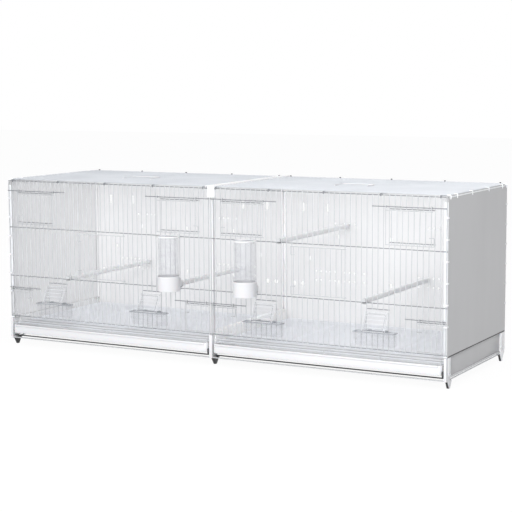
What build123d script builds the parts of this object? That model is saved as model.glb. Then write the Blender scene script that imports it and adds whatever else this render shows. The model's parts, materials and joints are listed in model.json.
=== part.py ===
from build123d import *
import math
import os

# Two bay wire breeding cage. Millimetres, +Z up, front of the cage towards -Y, the left bay at -X.
# The origin is on the ground, at the middle of the whole part's outline.

# Wire stock. Each round wire is drawn as a square bar of the same thickness,
# so that several hundred of them stay light.
WIRE = 2.0
BASE_WIRE = 3.0
WIRE_PITCH = 13.5
EYE_SIDES = 6

# Cage body
BAY_GAP_COUNT = 44
END_WIRE_INSET = 3.0
CAGE_DEPTH = 383.0
SHEET = 1.2
CROSS_WIRE_MARGIN = 17.0
CROSS_WIRE_COUNT = 5
GAP_MIDDLE_SHARE = 0.5

# Heights, from the ground up
FOOT_HEIGHT = 17.5
GUIDE_HEIGHT = 5.2
TRAY_HEIGHT = 28.0
GRID_LIP_RISE = 5.7
GRID_TO_GRILLE = 10.0
LOWER_TIER = 105.0
MIDDLE_TIER = 125.0
UPPER_TIER = 120.0

# Clearances
RUN_CLEAR = 0.3
SEAM_CLEAR = 0.3
EYE_CLEAR = 0.3
DOOR_CLEAR = 0.5
CUT_OVERRUN = 1.0

# End panels
PANEL_FLANGE = 9.0
PANEL_CORNER_R = 14.0
PANEL_BELOW_GRILLE = 6.0

# Legs and feet
LEG_WIDTH = 6.0
CENTRE_LEG_WIDTH = 8.0
LEG_LENGTH = 27.0
LEG_PROUD = 5.0
LEG_BELOW_CENTRE = 2.0
LEG_STRIP_WIDTH = 14.0
LEG_STRIP_THICK = 1.0
FOOT_INSET = 18.0
FOOT_TOP_LENGTH = 26.0
FOOT_TIP_LENGTH = 7.0
FOOT_TIP_WIDTH = 5.0
FOOT_SKIN = 1.2
FOOT_SHOULDER = 4.0
FOOT_PAD_REACH = 4.0
KNOB_R = 5.5
KNOB_THICK = 2.0
KNOB_RISE = 16.0
KNOB_SIDES = 12
KNOB_PLACE_SHARE = 2 / 3
SKIRT_RECESS = 4.0

# Trays and floor grids
TRAY_SIDE_GAP = 4.0
TRAY_WALL = 2.0
TRAY_RIM = 6.0
TRAY_CORNER_R = 8.0
TRAY_REAR_GAP = 2.5
TRAY_PROUD = 8.0
TRAY_LIP = 3.5
TRAY_LIP_HEIGHT = 4.0
GUIDE_WIDTH = 12.0
GUIDE_STOP_HEIGHT = 20.0
GUIDE_INSET = 2.0
GRID_INSET = 4.0

# Door and feeder places, counted in wires from the left side of a bay
TOP_DOOR_PLACES = (2, 10)
TOP_GUIDE_WIRE_COUNT = 13
CENTRE_DOOR_PLACES = (16, 26)
LOWER_DOOR_PLACES = (0, 5)
LOWER_GUIDE_WIRE_COUNT = 7
FEEDER_PLACES = ((9, 13), (30, 34))
DRINKER_PLACES = (37, 8)

# Door openings
TOP_GUIDE_DROP = 26.0
TOP_DOOR_FOOT = 9.5
TOP_SILL_RISE = 14.0
LOWER_GUIDE_DROP = 30.0
LOWER_DOOR_FOOT = 5.0
GUIDE_TO_HEADER = 5.0
GUIDE_TO_DOOR = 8.0
CENTRE_DOOR_MARGIN = 7.0
DOOR_OVERLAP = 2.0
TOP_DOOR_MARGIN = 2.5
LOWER_DOOR_MARGIN = 5.0
LATCH_MARGIN = 5.75
LATCH_HEIGHT = 19.0
LATCH_RETURN = 12.0

# Feeders
FEEDER_HEADER_DROP = 13.0
FEEDER_MOUTH_HEIGHT = 50.0
TROUGH_WIDTH = 98.0
TROUGH_DEPTH = 26.0
TROUGH_HEIGHT = 33.0
TROUGH_FLOOR_DEPTH = 17.0
TROUGH_WALL = 1.6
TROUGH_RIM = 2.2
HOOD_HEIGHT = 43.0
HOOD_TOP_DEPTH = 4.5
HOOD_SIDE_OVERLAP = 1.5
HOOD_RIBS = 4
HOOD_RIB = 1.2
FEEDER_TAB_WIDTH = 8.0
FEEDER_TAB_REACH = 5.5

# Drinkers
CUP_R = 28.5
CUP_HEIGHT = 36.0
CUP_BELOW_WIRE = 3.0
CUP_WALL = 2.2
TUBE_R = 25.0
TUBE_WALL = 1.5
TUBE_SEAT = 6.0
TUBE_DOME = 7.0
DRINKER_SIDES = 20
SPOUT_WIDTH = 18.0
SPOUT_HEIGHT = 17.0
SPOUT_REACH = 16.0
RING_WALL = 2.4
RING_HEIGHT = 2.5
RING_ARM_WIDTH = 4.0
RING_ARM_REACH = 2.0

# Perches
PERCH_WIDTH = 10.0
PERCH_HEIGHT = 12.0
PERCH_BELOW_WIRE = 3.0
PERCH_CHAMFER = 3.0
PERCH_TIP = 3.0
PERCH_PIN_RISE = 6.0
PERCH_PIN = 4.0
PERCH_TRAVEL = 10.0
FORK_CLEAR = 0.3

# Each perch: bay, gap between wires counted from the left, and whether it is on the upper wire
PERCH_PLACES = ((0, 13, False), (0, 35, False), (1, 13, True), (1, 29, False))

# Back panel punching
PIN_HOLE = 5.0
PIN_ROW_STEP = 23.0
UPPER_ROW_PLACES = (10, 12, 13, 14)
MAIN_ROW_PLACES = (6, 7, 8, 9, 10, 12, 13, 14, 16)
LOWER_ROW_PLACES = (6, 7, 9, 10, 12, 13, 14, 16)
TALL_SLOT = (7.0, 22.0)
TALL_SLOT_OFFSETS = (175.0, 247.0)
TALL_SLOT_DROP = 75.0
SMALL_SLOT = (5.0, 10.0)
SMALL_SLOT_OFFSETS = (0.0, 145.0)
EDGE_SLOT_OFFSET = 228.0
SMALL_SLOT_BELOW_UPPER = 27.0
EDGE_SLOT_ABOVE_LOWER = 39.0
LOW_SLOT_BELOW_LOWER = 19.0
ROUND_HOLE = 11.0
ROUND_HOLE_OFFSETS = (248.0, 273.0)
ROUND_HOLE_BELOW_LOWER = 29.0
BACK_FLANGE = 9.0

# Divider rails
RAIL_WIDTH = 12.0
RAIL_DEPTH = 10.0
RAIL_SLOT = 5.0
RAIL_SLOT_DEPTH = 8.0
RAIL_TOP_GAP = 12.0
SILL_WIDTH = 11.0
SILL_HEIGHT = 9.0
CHANNEL_WIDTH = 24.0
CHANNEL_HEIGHT = 5.0
CHANNEL_TAB_WIDTH = 18.0
CHANNEL_TAB_SHIFT = 5.0
CHANNEL_TAB_DROP = 22.0

# Clips
CLIP_THICK = 0.8
CLIP_WIDTH = 4.0
CLIP_REACH = 3.0
CLIP_DROP = 8.0
EDGE_CLIP_THICK = 1.2
EDGE_CLIP_HEIGHT = 4.0
EDGE_CLIP_REACH = 8.0
EDGE_CLIP_FIRST = 46.0
EDGE_CLIP_SPACING = 48.0
EDGE_CLIP_COUNT = 6
END_HOOK_DROP = 9.0
END_HOOK_PLACES = (0, 3, 10, 18, 25, 27)

# Carrying handles
HANDLE_WIDTH = 84.0
HANDLE_REACH = 42.0
HANDLE_ROW_COUNT = 10

# Worked out from the sizes above
wire_corner = WIRE / 2 / math.cos(math.pi / 4)
bay_width = BAY_GAP_COUNT * WIRE_PITCH + 2 * END_WIRE_INSET
bay_lefts = (-bay_width, 0.0)
cross_wire_spacing = (bay_width - 2 * CROSS_WIRE_MARGIN) / (CROSS_WIRE_COUNT - 1)
guide_z = FOOT_HEIGHT + BASE_WIRE
tray_z = guide_z + GUIDE_HEIGHT + RUN_CLEAR
tray_rim_z = tray_z + TRAY_HEIGHT
grid_z = tray_rim_z + RUN_CLEAR
grid_top_z = grid_z + 2 * WIRE
grid_lip_z = grid_top_z + GRID_LIP_RISE
grille_z = grid_lip_z + WIRE + GRID_TO_GRILLE
lower_wire_z = grille_z + LOWER_TIER
upper_wire_z = lower_wire_z + MIDDLE_TIER
top_z = upper_wire_z + UPPER_TIER
panel_z = grille_z - PANEL_BELOW_GRILLE
panel_top_z = top_z + WIRE
centre_leg_z = grille_z - LEG_BELOW_CENTRE
eye_in = wire_corner + EYE_CLEAR
eye_out = eye_in + WIRE

# Depths are counted from the front face of the end panels, and front_y puts the outline's middle at the origin
cross_wire_y = -WIRE / 2
upright_y = -WIRE * 1.5
upright_face_y = -WIRE * 2
hinge_y = upright_face_y - WIRE / 2
door_cross_y = upright_face_y - DOOR_CLEAR - WIRE / 2
door_upright_y = door_cross_y - WIRE
cup_y = upright_face_y - RUN_CLEAR - CUP_R
front_reach = CUP_R - cup_y
rear_reach = EDGE_CLIP_THICK
front_y = (front_reach - rear_reach - CAGE_DEPTH) / 2
top_wire_count = int((CAGE_DEPTH - 2 * PANEL_FLANGE) // WIRE_PITCH) + 1
top_wire_first = (CAGE_DEPTH - (top_wire_count - 1) * WIRE_PITCH) / 2

nodes = {}


def wire_x(bay, count):
    """Place along the cage of a bay's upright wire, or of a gap when count ends in a half."""
    return bay_lefts[bay] + END_WIRE_INSET + count * WIRE_PITCH


def point(x, y, z):
    """A point given by its depth behind the front face of the end panels."""
    return (x, front_y + y, z)


def block(x_span, y_span, z_span):
    """A square-cornered block between three pairs of places."""
    size = [abs(span[1] - span[0]) for span in (x_span, y_span, z_span)]
    middle = [sum(span) / 2 for span in (x_span, y_span, z_span)]
    return Pos(*point(*middle)) * Box(*size)


def wire(start, end, size=WIRE):
    """One straight wire between two places on a line along an axis."""
    reach = size / 2
    spans = [sorted(pair) for pair in zip(start, end)]
    return block(*[(low - reach, high + reach) if low == high else (low, high) for low, high in spans])


def bent_wire(points, flat=(0, 1, 0), size=WIRE):
    """A wire bent at each point of its route, with a flat side towards flat."""
    route = Polyline(*[point(*place) for place in points])
    section = Plane(origin=route @ 0, x_dir=flat, z_dir=route % 0) * Rectangle(size, size)
    return sweep(section, path=route, transition=Transition.RIGHT)


def eye(centre, axis, flat):
    """The closed eye at a wire's end, turning on another wire, with a flat side towards flat."""
    middle = Vector(*point(*centre))
    plane = Plane(origin=middle - Vector(*axis) * (WIRE / 2), x_dir=flat, z_dir=axis)
    turn = Rot(0, 0, 180 / EYE_SIDES)
    ring = turn * RegularPolygon(eye_out, EYE_SIDES, major_radius=False)
    ring -= turn * RegularPolygon(eye_in, EYE_SIDES, major_radius=False)
    return extrude(plane * ring, WIRE)


def keep(name, *solids):
    """Stores one node's solids under the name of its file."""
    nodes.setdefault(name, []).extend(solids)


def gap_x(bay, gap):
    """Place along the cage of the middle of a gap, counted from the wire at its left."""
    return wire_x(bay, gap + GAP_MIDDLE_SHARE)


def cross_wire_places(bay, skipped=0):
    """Places along the cage of a bay's front to back wires, leaving some out at either end."""
    first = bay_lefts[bay] + CROSS_WIRE_MARGIN
    return [first + count * cross_wire_spacing for count in range(skipped, CROSS_WIRE_COUNT - skipped)]


# Door and feeder openings in a front grille


class Opening:
    """A rectangular gap in a bay's upright wires, from one wire to another and between two heights."""

    def __init__(self, first, last, low, high):
        self.first, self.last, self.low, self.high = first, last, low, high


def mirrored(wires):
    """The same pair of wires counted from the other side of the bay."""
    return (BAY_GAP_COUNT - wires[1], BAY_GAP_COUNT - wires[0])


def top_openings():
    low = upper_wire_z + TOP_SILL_RISE
    high = top_z - TOP_GUIDE_DROP - GUIDE_TO_HEADER
    return [Opening(*pair, low, high) for pair in (TOP_DOOR_PLACES, mirrored(TOP_DOOR_PLACES))]


def lower_openings():
    high = lower_wire_z - LOWER_GUIDE_DROP - GUIDE_TO_HEADER
    return [Opening(*pair, grille_z, high) for pair in (LOWER_DOOR_PLACES, mirrored(LOWER_DOOR_PLACES))]


def centre_openings():
    return [Opening(*CENTRE_DOOR_PLACES, lower_wire_z, upper_wire_z)]


def feeder_openings():
    high = lower_wire_z - FEEDER_HEADER_DROP
    return [Opening(*pair, high - FEEDER_MOUTH_HEIGHT, high) for pair in FEEDER_PLACES]


def drinker_openings(bay):
    middle = DRINKER_PLACES[bay]
    high = lower_wire_z + SPOUT_HEIGHT + WIRE * 3
    return [Opening(middle - 1, middle + 1, lower_wire_z, high)]


def openings(bay):
    every = top_openings() + centre_openings() + lower_openings() + feeder_openings()
    return every + drinker_openings(bay)


def upright_spans(bay, count):
    """The heights between which one upright wire of a bay runs, as a list of stretches."""
    half = WIRE / 2
    spans = [(grille_z - half, top_z)]
    for gap in openings(bay):
        if not gap.first < count < gap.last:
            continue
        cut = []
        for low, high in spans:
            if gap.high < low or gap.low > high:
                cut.append((low, high))
            else:
                cut += [(low, gap.low + half), (gap.high - half, high)]
        spans = [(low, high) for low, high in cut if high - low > WIRE * 1.5]
    return spans


def cross_wires(bay):
    """Each cross wire of a bay's front grille, as its two ends along the cage and its height."""
    left, right = bay_lefts[bay] + SEAM_CLEAR, bay_lefts[bay] + bay_width - SEAM_CLEAR
    rows = [(left, right, z) for z in (grille_z, lower_wire_z, upper_wire_z, top_z - WIRE / 2)]
    full = [row[2] for row in rows]
    for gap in openings(bay):
        for z in (gap.low, gap.high):
            if z not in full:
                reach = WIRE / 2
                rows.append((wire_x(bay, gap.first) - reach, wire_x(bay, gap.last) + reach, z))
    return rows


def front_grille(bay, name):
    """The front of one bay: upright wires in front, cross wires welded behind, and the door guide wires."""
    for count in range(BAY_GAP_COUNT + 1):
        x = wire_x(bay, count)
        for low, high in upright_spans(bay, count):
            keep(name, wire((x, upright_y, low), (x, upright_y, high)))
    for left, right, z in cross_wires(bay):
        keep(name, wire((left, cross_wire_y, z), (right, cross_wire_y, z)))
    reach = WIRE / 2
    guides = ((top_z - TOP_GUIDE_DROP, TOP_GUIDE_WIRE_COUNT),
              (lower_wire_z - LOWER_GUIDE_DROP, LOWER_GUIDE_WIRE_COUNT))
    for z, last in guides:
        for first_wire, last_wire in ((0, last), mirrored((0, last))):
            start = (wire_x(bay, first_wire) - reach, hinge_y, z)
            keep(name, wire(start, (wire_x(bay, last_wire) + reach, hinge_y, z)))


def top_grille(bay, name):
    """The wire top of one bay: cross wires from front to back, long wires over them, hooked over the end panel."""
    for x in cross_wire_places(bay):
        z = top_z + WIRE / 2
        keep(name, wire((x, upright_face_y, z), (x, CAGE_DEPTH, z)))
    outer, inner = (-bay_width, -CHANNEL_WIDTH / 2 - SEAM_CLEAR)
    side = -1 if bay == 0 else 1
    z = panel_top_z + WIRE / 2
    for row in range(top_wire_count):
        y = top_wire_first + row * WIRE_PITCH
        near = (-side * inner, y, z)
        if row in END_HOOK_PLACES:
            out = side * (bay_width + WIRE / 2)
            keep(name, bent_wire([near, (out, y, z), (out, y, z - END_HOOK_DROP)], (0, 0, 1)))
        else:
            keep(name, wire(near, (side * (-outer - SEAM_CLEAR), y, z)))


# Hinged wire doors


def hooked_wire(hinge_end, hook_end, z, turn):
    """A door's cross wire whose free end turns up or down and back on itself as the latch."""
    inward = math.copysign(1, hinge_end - hook_end)
    tip = z + turn * LATCH_HEIGHT
    return bent_wire([
        (hinge_end, door_cross_y, z),
        (hook_end, door_cross_y, z),
        (hook_end, door_cross_y, tip),
        (hook_end + inward * LATCH_RETURN, door_cross_y, tip),
    ])


def hung_door(bay, name, gaps, guide, foot, latch_left, latch_low, far_margin):
    """A door that hangs on its guide wire by two eyes and swings up and out; its uprights stand in the given gaps."""
    places = [gap_x(bay, gap) for gap in gaps]
    near, far = (places[0], places[-1]) if latch_left else (places[-1], places[0])
    way = math.copysign(1, near - far)
    plain = far - way * far_margin
    head = guide - GUIDE_TO_DOOR
    hooked, straight, turn = (foot, head, 1) if latch_low else (head, foot, -1)
    keep(name, hooked_wire(plain, near + way * LATCH_MARGIN, hooked, turn))
    keep(name, wire((near + way * far_margin, door_cross_y, straight), (plain, door_cross_y, straight)))
    bottom = foot - WIRE / 2
    for x in places:
        if x in (near, far):
            bar = wire((x, door_upright_y, bottom), (x, door_upright_y, guide))
            keep(name, bar + eye((x, hinge_y, guide), (1, 0, 0), (0, 1, 0)))
        else:
            keep(name, wire((x, door_upright_y, bottom), (x, door_upright_y, head + WIRE / 2)))


def side_door(bay, name):
    """The tall centre door, hinged on an upright wire at its right side, with a latch at each free corner."""
    gap = centre_openings()[0]
    hinge_x = wire_x(bay, gap.last)
    free_x = wire_x(bay, gap.first) - DOOR_OVERLAP
    low, high = gap.low + CENTRE_DOOR_MARGIN, gap.high - CENTRE_DOOR_MARGIN
    for z, turn in ((low, 1), (high, -1)):
        bar = hooked_wire(hinge_x, free_x, z, turn)
        keep(name, bar + eye((hinge_x, upright_y, z), (0, 0, 1), (0, 1, 0)))
    half = WIRE / 2
    for count in range(gap.first, gap.last):
        x = gap_x(bay, count)
        keep(name, wire((x, door_upright_y, low - half), (x, door_upright_y, high + half)))


def doors(bay, side):
    """The five doors of one bay. A top door reaches one gap past its opening, away from its latch."""
    left_word, right_word = ("outer", "inner") if bay == 0 else ("inner", "outer")
    guide = top_z - TOP_GUIDE_DROP
    foot = upper_wire_z + TOP_DOOR_FOOT
    left, right = top_openings()
    left_gaps, right_gaps = range(left.first, left.last + 1), range(right.first - 1, right.last)
    hung_door(bay, f"top_door_{side}_{left_word}", left_gaps, guide, foot, True, True, TOP_DOOR_MARGIN)
    hung_door(bay, f"top_door_{side}_{right_word}", right_gaps, guide, foot, False, True, TOP_DOOR_MARGIN)
    side_door(bay, f"centre_door_{side}")
    guide = lower_wire_z - LOWER_GUIDE_DROP
    foot = grille_z + LOWER_DOOR_FOOT
    left, right = lower_openings()
    left_gaps, right_gaps = range(left.first, left.last), range(right.first, right.last)
    hung_door(bay, f"lower_door_{side}_{left_word}", left_gaps, guide, foot, False, False, LOWER_DOOR_MARGIN)
    hung_door(bay, f"lower_door_{side}_{right_word}", right_gaps, guide, foot, True, False, LOWER_DOOR_MARGIN)


# Sheet panels


def end_panel(side):
    """A folded end panel: a sheet with rounded top corners and a flange turned in all round."""
    depth = CAGE_DEPTH - SHEET
    height = panel_top_z - panel_z
    outline = Rectangle(depth, height)
    top_corners = outline.vertices().sort_by(Axis.Y)[-2:]
    outline = fillet(top_corners, PANEL_CORNER_R)
    inner = offset(outline, -SHEET, kind=Kind.INTERSECTION)
    outside = Plane(origin=point(side * bay_width, depth / 2, (panel_top_z + panel_z) / 2),
                    x_dir=(0, 1, 0), z_dir=(1, 0, 0))
    pan = extrude(outside * outline, -side * PANEL_FLANGE)
    hollow = extrude(outside.offset(-side * SHEET) * inner, -side * PANEL_FLANGE)
    return pan - hollow


def skirt(side):
    """The plain sheet below an end panel, set back between the legs, standing on the upper base wire."""
    outer = side * (bay_width - SKIRT_RECESS)
    low = FOOT_HEIGHT + 2 * BASE_WIRE + GUIDE_HEIGHT / 3
    depths = (LEG_LENGTH - LEG_PROUD, CAGE_DEPTH - SHEET - LEG_LENGTH)
    return block((outer, outer - side * SHEET), depths, (low, panel_z))


def row_holes(gaps):
    """Gap counts of one row of pin holes, with its mirror image in the other half of the bay."""
    return sorted(set(gaps) | {BAY_GAP_COUNT - 1 - gap for gap in gaps})


def back_panel(bay):
    """One bay's punched back, with its top edge turned forward to carry the top grille."""
    left = bay_lefts[bay] + (0 if bay == 0 else SEAM_CLEAR)
    right = bay_lefts[bay] + bay_width - (0 if bay == 1 else SEAM_CLEAR)
    low, high = tray_z, top_z
    middle = bay_lefts[bay] + bay_width / 2
    depth = CAGE_DEPTH - SHEET
    face = Plane(origin=point(0, CAGE_DEPTH, 0), x_dir=(1, 0, 0), z_dir=(0, -1, 0))
    sheet = Pos((left + right) / 2, (low + high) / 2) * Rectangle(right - left, high - low)
    holes = []
    rows = ((upper_wire_z, UPPER_ROW_PLACES), (lower_wire_z, MAIN_ROW_PLACES),
            (lower_wire_z - PIN_ROW_STEP, LOWER_ROW_PLACES))
    for wire_z, gaps in rows:
        for gap in row_holes(gaps):
            holes.append(Pos(gap_x(bay, gap), wire_z + PERCH_PIN_RISE) * Rectangle(PIN_HOLE, PIN_HOLE))
    for sign in (-1, 1):
        for offset_x in TALL_SLOT_OFFSETS:
            holes.append(Pos(middle + sign * offset_x, top_z - TALL_SLOT_DROP) * Rectangle(*TALL_SLOT))
        for offset_x in ROUND_HOLE_OFFSETS:
            z = lower_wire_z - ROUND_HOLE_BELOW_LOWER
            holes.append(Pos(middle + sign * offset_x, z) * Circle(ROUND_HOLE / 2))
        z = lower_wire_z + EDGE_SLOT_ABOVE_LOWER
        holes.append(Pos(middle + sign * EDGE_SLOT_OFFSET, z) * Rectangle(*SMALL_SLOT))
        for z in (upper_wire_z - SMALL_SLOT_BELOW_UPPER, lower_wire_z - LOW_SLOT_BELOW_LOWER):
            holes.append(Pos(middle + sign * SMALL_SLOT_OFFSETS[1], z) * Rectangle(*SMALL_SLOT))
    for z in (upper_wire_z - SMALL_SLOT_BELOW_UPPER, lower_wire_z - LOW_SLOT_BELOW_LOWER):
        holes.append(Pos(middle + SMALL_SLOT_OFFSETS[0], z) * Rectangle(*SMALL_SLOT))
    panel = extrude(face * (sheet - holes), SHEET)
    inset = PANEL_FLANGE + CUT_OVERRUN
    flange = block((left + inset, right - inset), (depth - BACK_FLANGE, depth), (high - SHEET, high))
    return panel + flange


# Divider rails between the bays


def divider_rail(rear):
    """An upright rail with a slot for the removable divider, against the back panels or behind the front posts."""
    wall = CAGE_DEPTH - SHEET if rear else 0.0
    into = -1 if rear else 1
    half = RAIL_WIDTH / 2
    z_span = (centre_leg_z, top_z - RAIL_TOP_GAP)
    body = block((-half, half), (wall, wall + into * RAIL_DEPTH), z_span)
    open_end = wall + into * (RAIL_DEPTH + CUT_OVERRUN)
    slot_end = wall + into * (RAIL_DEPTH - RAIL_SLOT_DEPTH)
    cut = (z_span[0] - CUT_OVERRUN, z_span[1] + CUT_OVERRUN)
    return body - block((-RAIL_SLOT / 2, RAIL_SLOT / 2), (slot_end, open_end), cut)


def divider_sill():
    """The low bar that joins the two rails at floor level."""
    half = SILL_WIDTH / 2
    depths = (RAIL_DEPTH, CAGE_DEPTH - SHEET - RAIL_DEPTH)
    return block((-half, half), depths, (centre_leg_z, centre_leg_z + SILL_HEIGHT))


def top_channel():
    """The folded strip over the joint between the two tops, with a tab down the front."""
    half = CHANNEL_WIDTH / 2
    high = top_z + CHANNEL_HEIGHT
    y_span = (upright_face_y, CAGE_DEPTH)
    body = block((-half, half), y_span, (top_z, high))
    inner = half - SHEET
    cut_y = (y_span[0] - CUT_OVERRUN, y_span[1] + CUT_OVERRUN)
    body -= block((-inner, inner), cut_y, (top_z - CUT_OVERRUN, high - SHEET))
    left = CHANNEL_TAB_SHIFT - CHANNEL_TAB_WIDTH / 2
    tab_y = (upright_face_y - SHEET, upright_face_y)
    tab = block((left, left + CHANNEL_TAB_WIDTH), tab_y, (top_z - CHANNEL_TAB_DROP, high))
    return body + tab


# Base, legs and feet


def leg_place(side, rear):
    """A leg's span along the cage, the depth of its outer face, and the way from there into the cage."""
    width = LEG_WIDTH if side else CENTRE_LEG_WIDTH
    outer = side * bay_width if side else width / 2
    span = sorted((outer, outer - (side or 1) * width))
    return (span, CAGE_DEPTH - SHEET, -1) if rear else (span, -LEG_PROUD, 1)


def two_outlines(front, side):
    """The solid that shows one outline from the front and another from the side."""
    x_places, depths = [place[0] for place in front], [place[0] for place in side]
    facing = Plane(origin=point(0, min(depths), 0), x_dir=(1, 0, 0), z_dir=(0, -1, 0))
    sideways = Plane(origin=point(min(x_places), 0, 0), x_dir=(0, 1, 0), z_dir=(1, 0, 0))
    across = extrude(facing * make_face(Polyline(*front, close=True)), min(depths) - max(depths))
    along = extrude(sideways * make_face(Polyline(*side, close=True)), max(x_places) - min(x_places))
    return across & along


def foot_side(rear):
    """A foot's outline seen from the side, tapering to its flat tip."""
    middle = (CAGE_DEPTH - FOOT_INSET) if rear else FOOT_INSET
    top, tip = FOOT_TOP_LENGTH / 2, FOOT_TIP_LENGTH / 2
    return [(middle - top, FOOT_HEIGHT), (middle + top, FOOT_HEIGHT), (middle + tip, 0), (middle - tip, 0)]


def leg(side, rear):
    """One moulded leg. An end leg carries the outer skin of its foot, a raised strip and a round knob."""
    span, face, into = leg_place(side, rear)
    body = block(span, (face, face + into * LEG_LENGTH), (FOOT_HEIGHT, panel_z if side else centre_leg_z))
    if not side:
        return body
    outer = side * bay_width
    left, right = sorted((outer, outer - side * FOOT_SKIN))
    body += two_outlines([(left, FOOT_HEIGHT), (right, FOOT_HEIGHT), (right, 0), (left, 0)], foot_side(rear))
    knob_y = face + into * LEG_LENGTH * KNOB_PLACE_SHARE
    knob_z = FOOT_HEIGHT + KNOB_RISE
    strip_y = (knob_y - LEG_STRIP_WIDTH / 2, knob_y + LEG_STRIP_WIDTH / 2)
    body += block((outer, outer + side * LEG_STRIP_THICK), strip_y, (knob_z, panel_z))
    plane = Plane(origin=point(outer, knob_y, knob_z), x_dir=(0, 1, 0), z_dir=(side, 0, 0))
    body += extrude(plane * RegularPolygon(LEG_STRIP_WIDTH / 2, KNOB_SIDES), LEG_STRIP_THICK)
    return body + extrude(plane * RegularPolygon(KNOB_R, KNOB_SIDES), KNOB_THICK)


def foot_pad(side, rear):
    """The dark body of a foot, stepped in below its shoulder, behind the skin of an end leg."""
    span = leg_place(side, rear)[0]
    neck = FOOT_HEIGHT - FOOT_SHOULDER
    if side:
        outer = side * (bay_width - FOOT_SKIN)
        inner = side * (bay_width - LEG_WIDTH - FOOT_PAD_REACH)
        tip = outer - side * FOOT_TIP_WIDTH
        front = [(outer, FOOT_HEIGHT), (outer, 0), (tip, 0), (tip, neck), (inner, FOOT_HEIGHT)]
        front = front if side > 0 else front[::-1]
    else:
        half, reach = FOOT_TIP_WIDTH / 2, FOOT_PAD_REACH / 2
        front = [(span[0] - reach, FOOT_HEIGHT), (span[1] + reach, FOOT_HEIGHT), (span[1], neck),
                 (half, 0), (-half, 0), (span[0], neck)]
    return two_outlines(front, foot_side(rear))


def tray_guide(side, low_y):
    """One near-black strip under a tray, with a stop turned up at its right end."""
    left, right = tray_span(0 if side < 0 else 1)
    depths = (low_y, low_y + GUIDE_WIDTH)
    guide = block((left, right), depths, (guide_z, guide_z + GUIDE_HEIGHT))
    stop = (right, right + TRAY_SIDE_GAP - SEAM_CLEAR)
    return guide + block(stop, depths, (guide_z, guide_z + GUIDE_STOP_HEIGHT))


def base():
    """Base wires, tray guides, legs and feet."""
    for side, word in ((-1, "left"), (0, "centre"), (1, "right")):
        for rear, place in ((False, "front"), (True, "rear")):
            keep(f"leg_{place}_{word}", leg(side, rear))
            keep("foot_pads", foot_pad(side, rear))
    z = FOOT_HEIGHT + BASE_WIRE / 2
    end = bay_width - LEG_WIDTH
    middle = CENTRE_LEG_WIDTH / 2
    for low_y in (GUIDE_INSET - TRAY_PROUD, CAGE_DEPTH - GUIDE_INSET - GUIDE_WIDTH - TRAY_REAR_GAP):
        y = low_y + GUIDE_WIDTH / 2
        for side in (-1, 1):
            keep("base_wires", wire((side * middle, y, z), (side * end, y, z), BASE_WIRE))
            keep("tray_guides", tray_guide(side, low_y))
    front, back = LEG_LENGTH - LEG_PROUD, CAGE_DEPTH - SHEET - LEG_LENGTH
    for side in (-1, 1):
        x = side * (bay_width - LEG_WIDTH / 2)
        for lift in (BASE_WIRE / 2, BASE_WIRE * 1.5 + GUIDE_HEIGHT / 3):
            keep("base_wires", wire((x, front, FOOT_HEIGHT + lift), (x, back, FOOT_HEIGHT + lift), BASE_WIRE))


# Trays and floor grids


def tray_span(bay):
    left, right = bay_lefts[bay], bay_lefts[bay] + bay_width
    outer = LEG_WIDTH + TRAY_SIDE_GAP
    inner = CENTRE_LEG_WIDTH / 2 + TRAY_SIDE_GAP
    return (left + outer, right - inner) if bay == 0 else (left + inner, right - outer)


def tray(bay):
    """A moulded droppings tray with a rim and a rounded finger lip along its front."""
    left, right = tray_span(bay)
    front, back = -TRAY_PROUD, CAGE_DEPTH - TRAY_REAR_GAP
    body = block((left, right), (front, back), (tray_z, tray_rim_z))
    body = fillet(body.edges().filter_by(Axis.Z), TRAY_CORNER_R)
    for inset, high in ((TRAY_RIM, tray_rim_z + CUT_OVERRUN), (TRAY_WALL, tray_rim_z - TRAY_WALL)):
        hollow = block((left + inset, right - inset), (front + inset, back - inset), (tray_z + TRAY_WALL, high))
        body -= chamfer(hollow.edges().filter_by(Axis.Z), TRAY_CORNER_R - inset)
    lip_z = tray_rim_z - TRAY_LIP_HEIGHT / 2
    section = Plane(origin=point(left + TRAY_CORNER_R, front, lip_z), x_dir=(0, -1, 0), z_dir=(1, 0, 0))
    profile = Pos(TRAY_LIP / 2, 0) * Rectangle(TRAY_LIP, TRAY_LIP_HEIGHT)
    profile = chamfer(profile.vertices().group_by(Axis.X)[-1], SHEET)
    return body + extrude(section * profile, right - left - 2 * TRAY_CORNER_R)


def floor_grid(bay, name):
    """The wire floor over a tray, with a raised lip that closes the gap below the front grille."""
    left, right = tray_span(bay)
    front, back = GRID_INSET - TRAY_PROUD + WIRE / 2, CAGE_DEPTH - TRAY_REAR_GAP - WIRE / 2
    half = WIRE / 2
    for x in [left + 2 * WIRE, right - 2 * WIRE] + cross_wire_places(bay, 1):
        keep(name, wire((x, front - half, grid_z + half), (x, back + half, grid_z + half)))
        keep(name, wire((x, front, grid_top_z), (x, front, grid_lip_z)))
    z = grid_z + WIRE * 1.5
    count = int((back - front) // WIRE_PITCH)
    step = (back - front) / count
    for row in range(count + 1):
        y = front + row * step
        keep(name, wire((left + WIRE, y, z), (right - WIRE, y, z)))
    z = grid_lip_z + half
    keep(name, wire((left + WIRE, front, z), (right - WIRE, front, z)))


# Feeders


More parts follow.
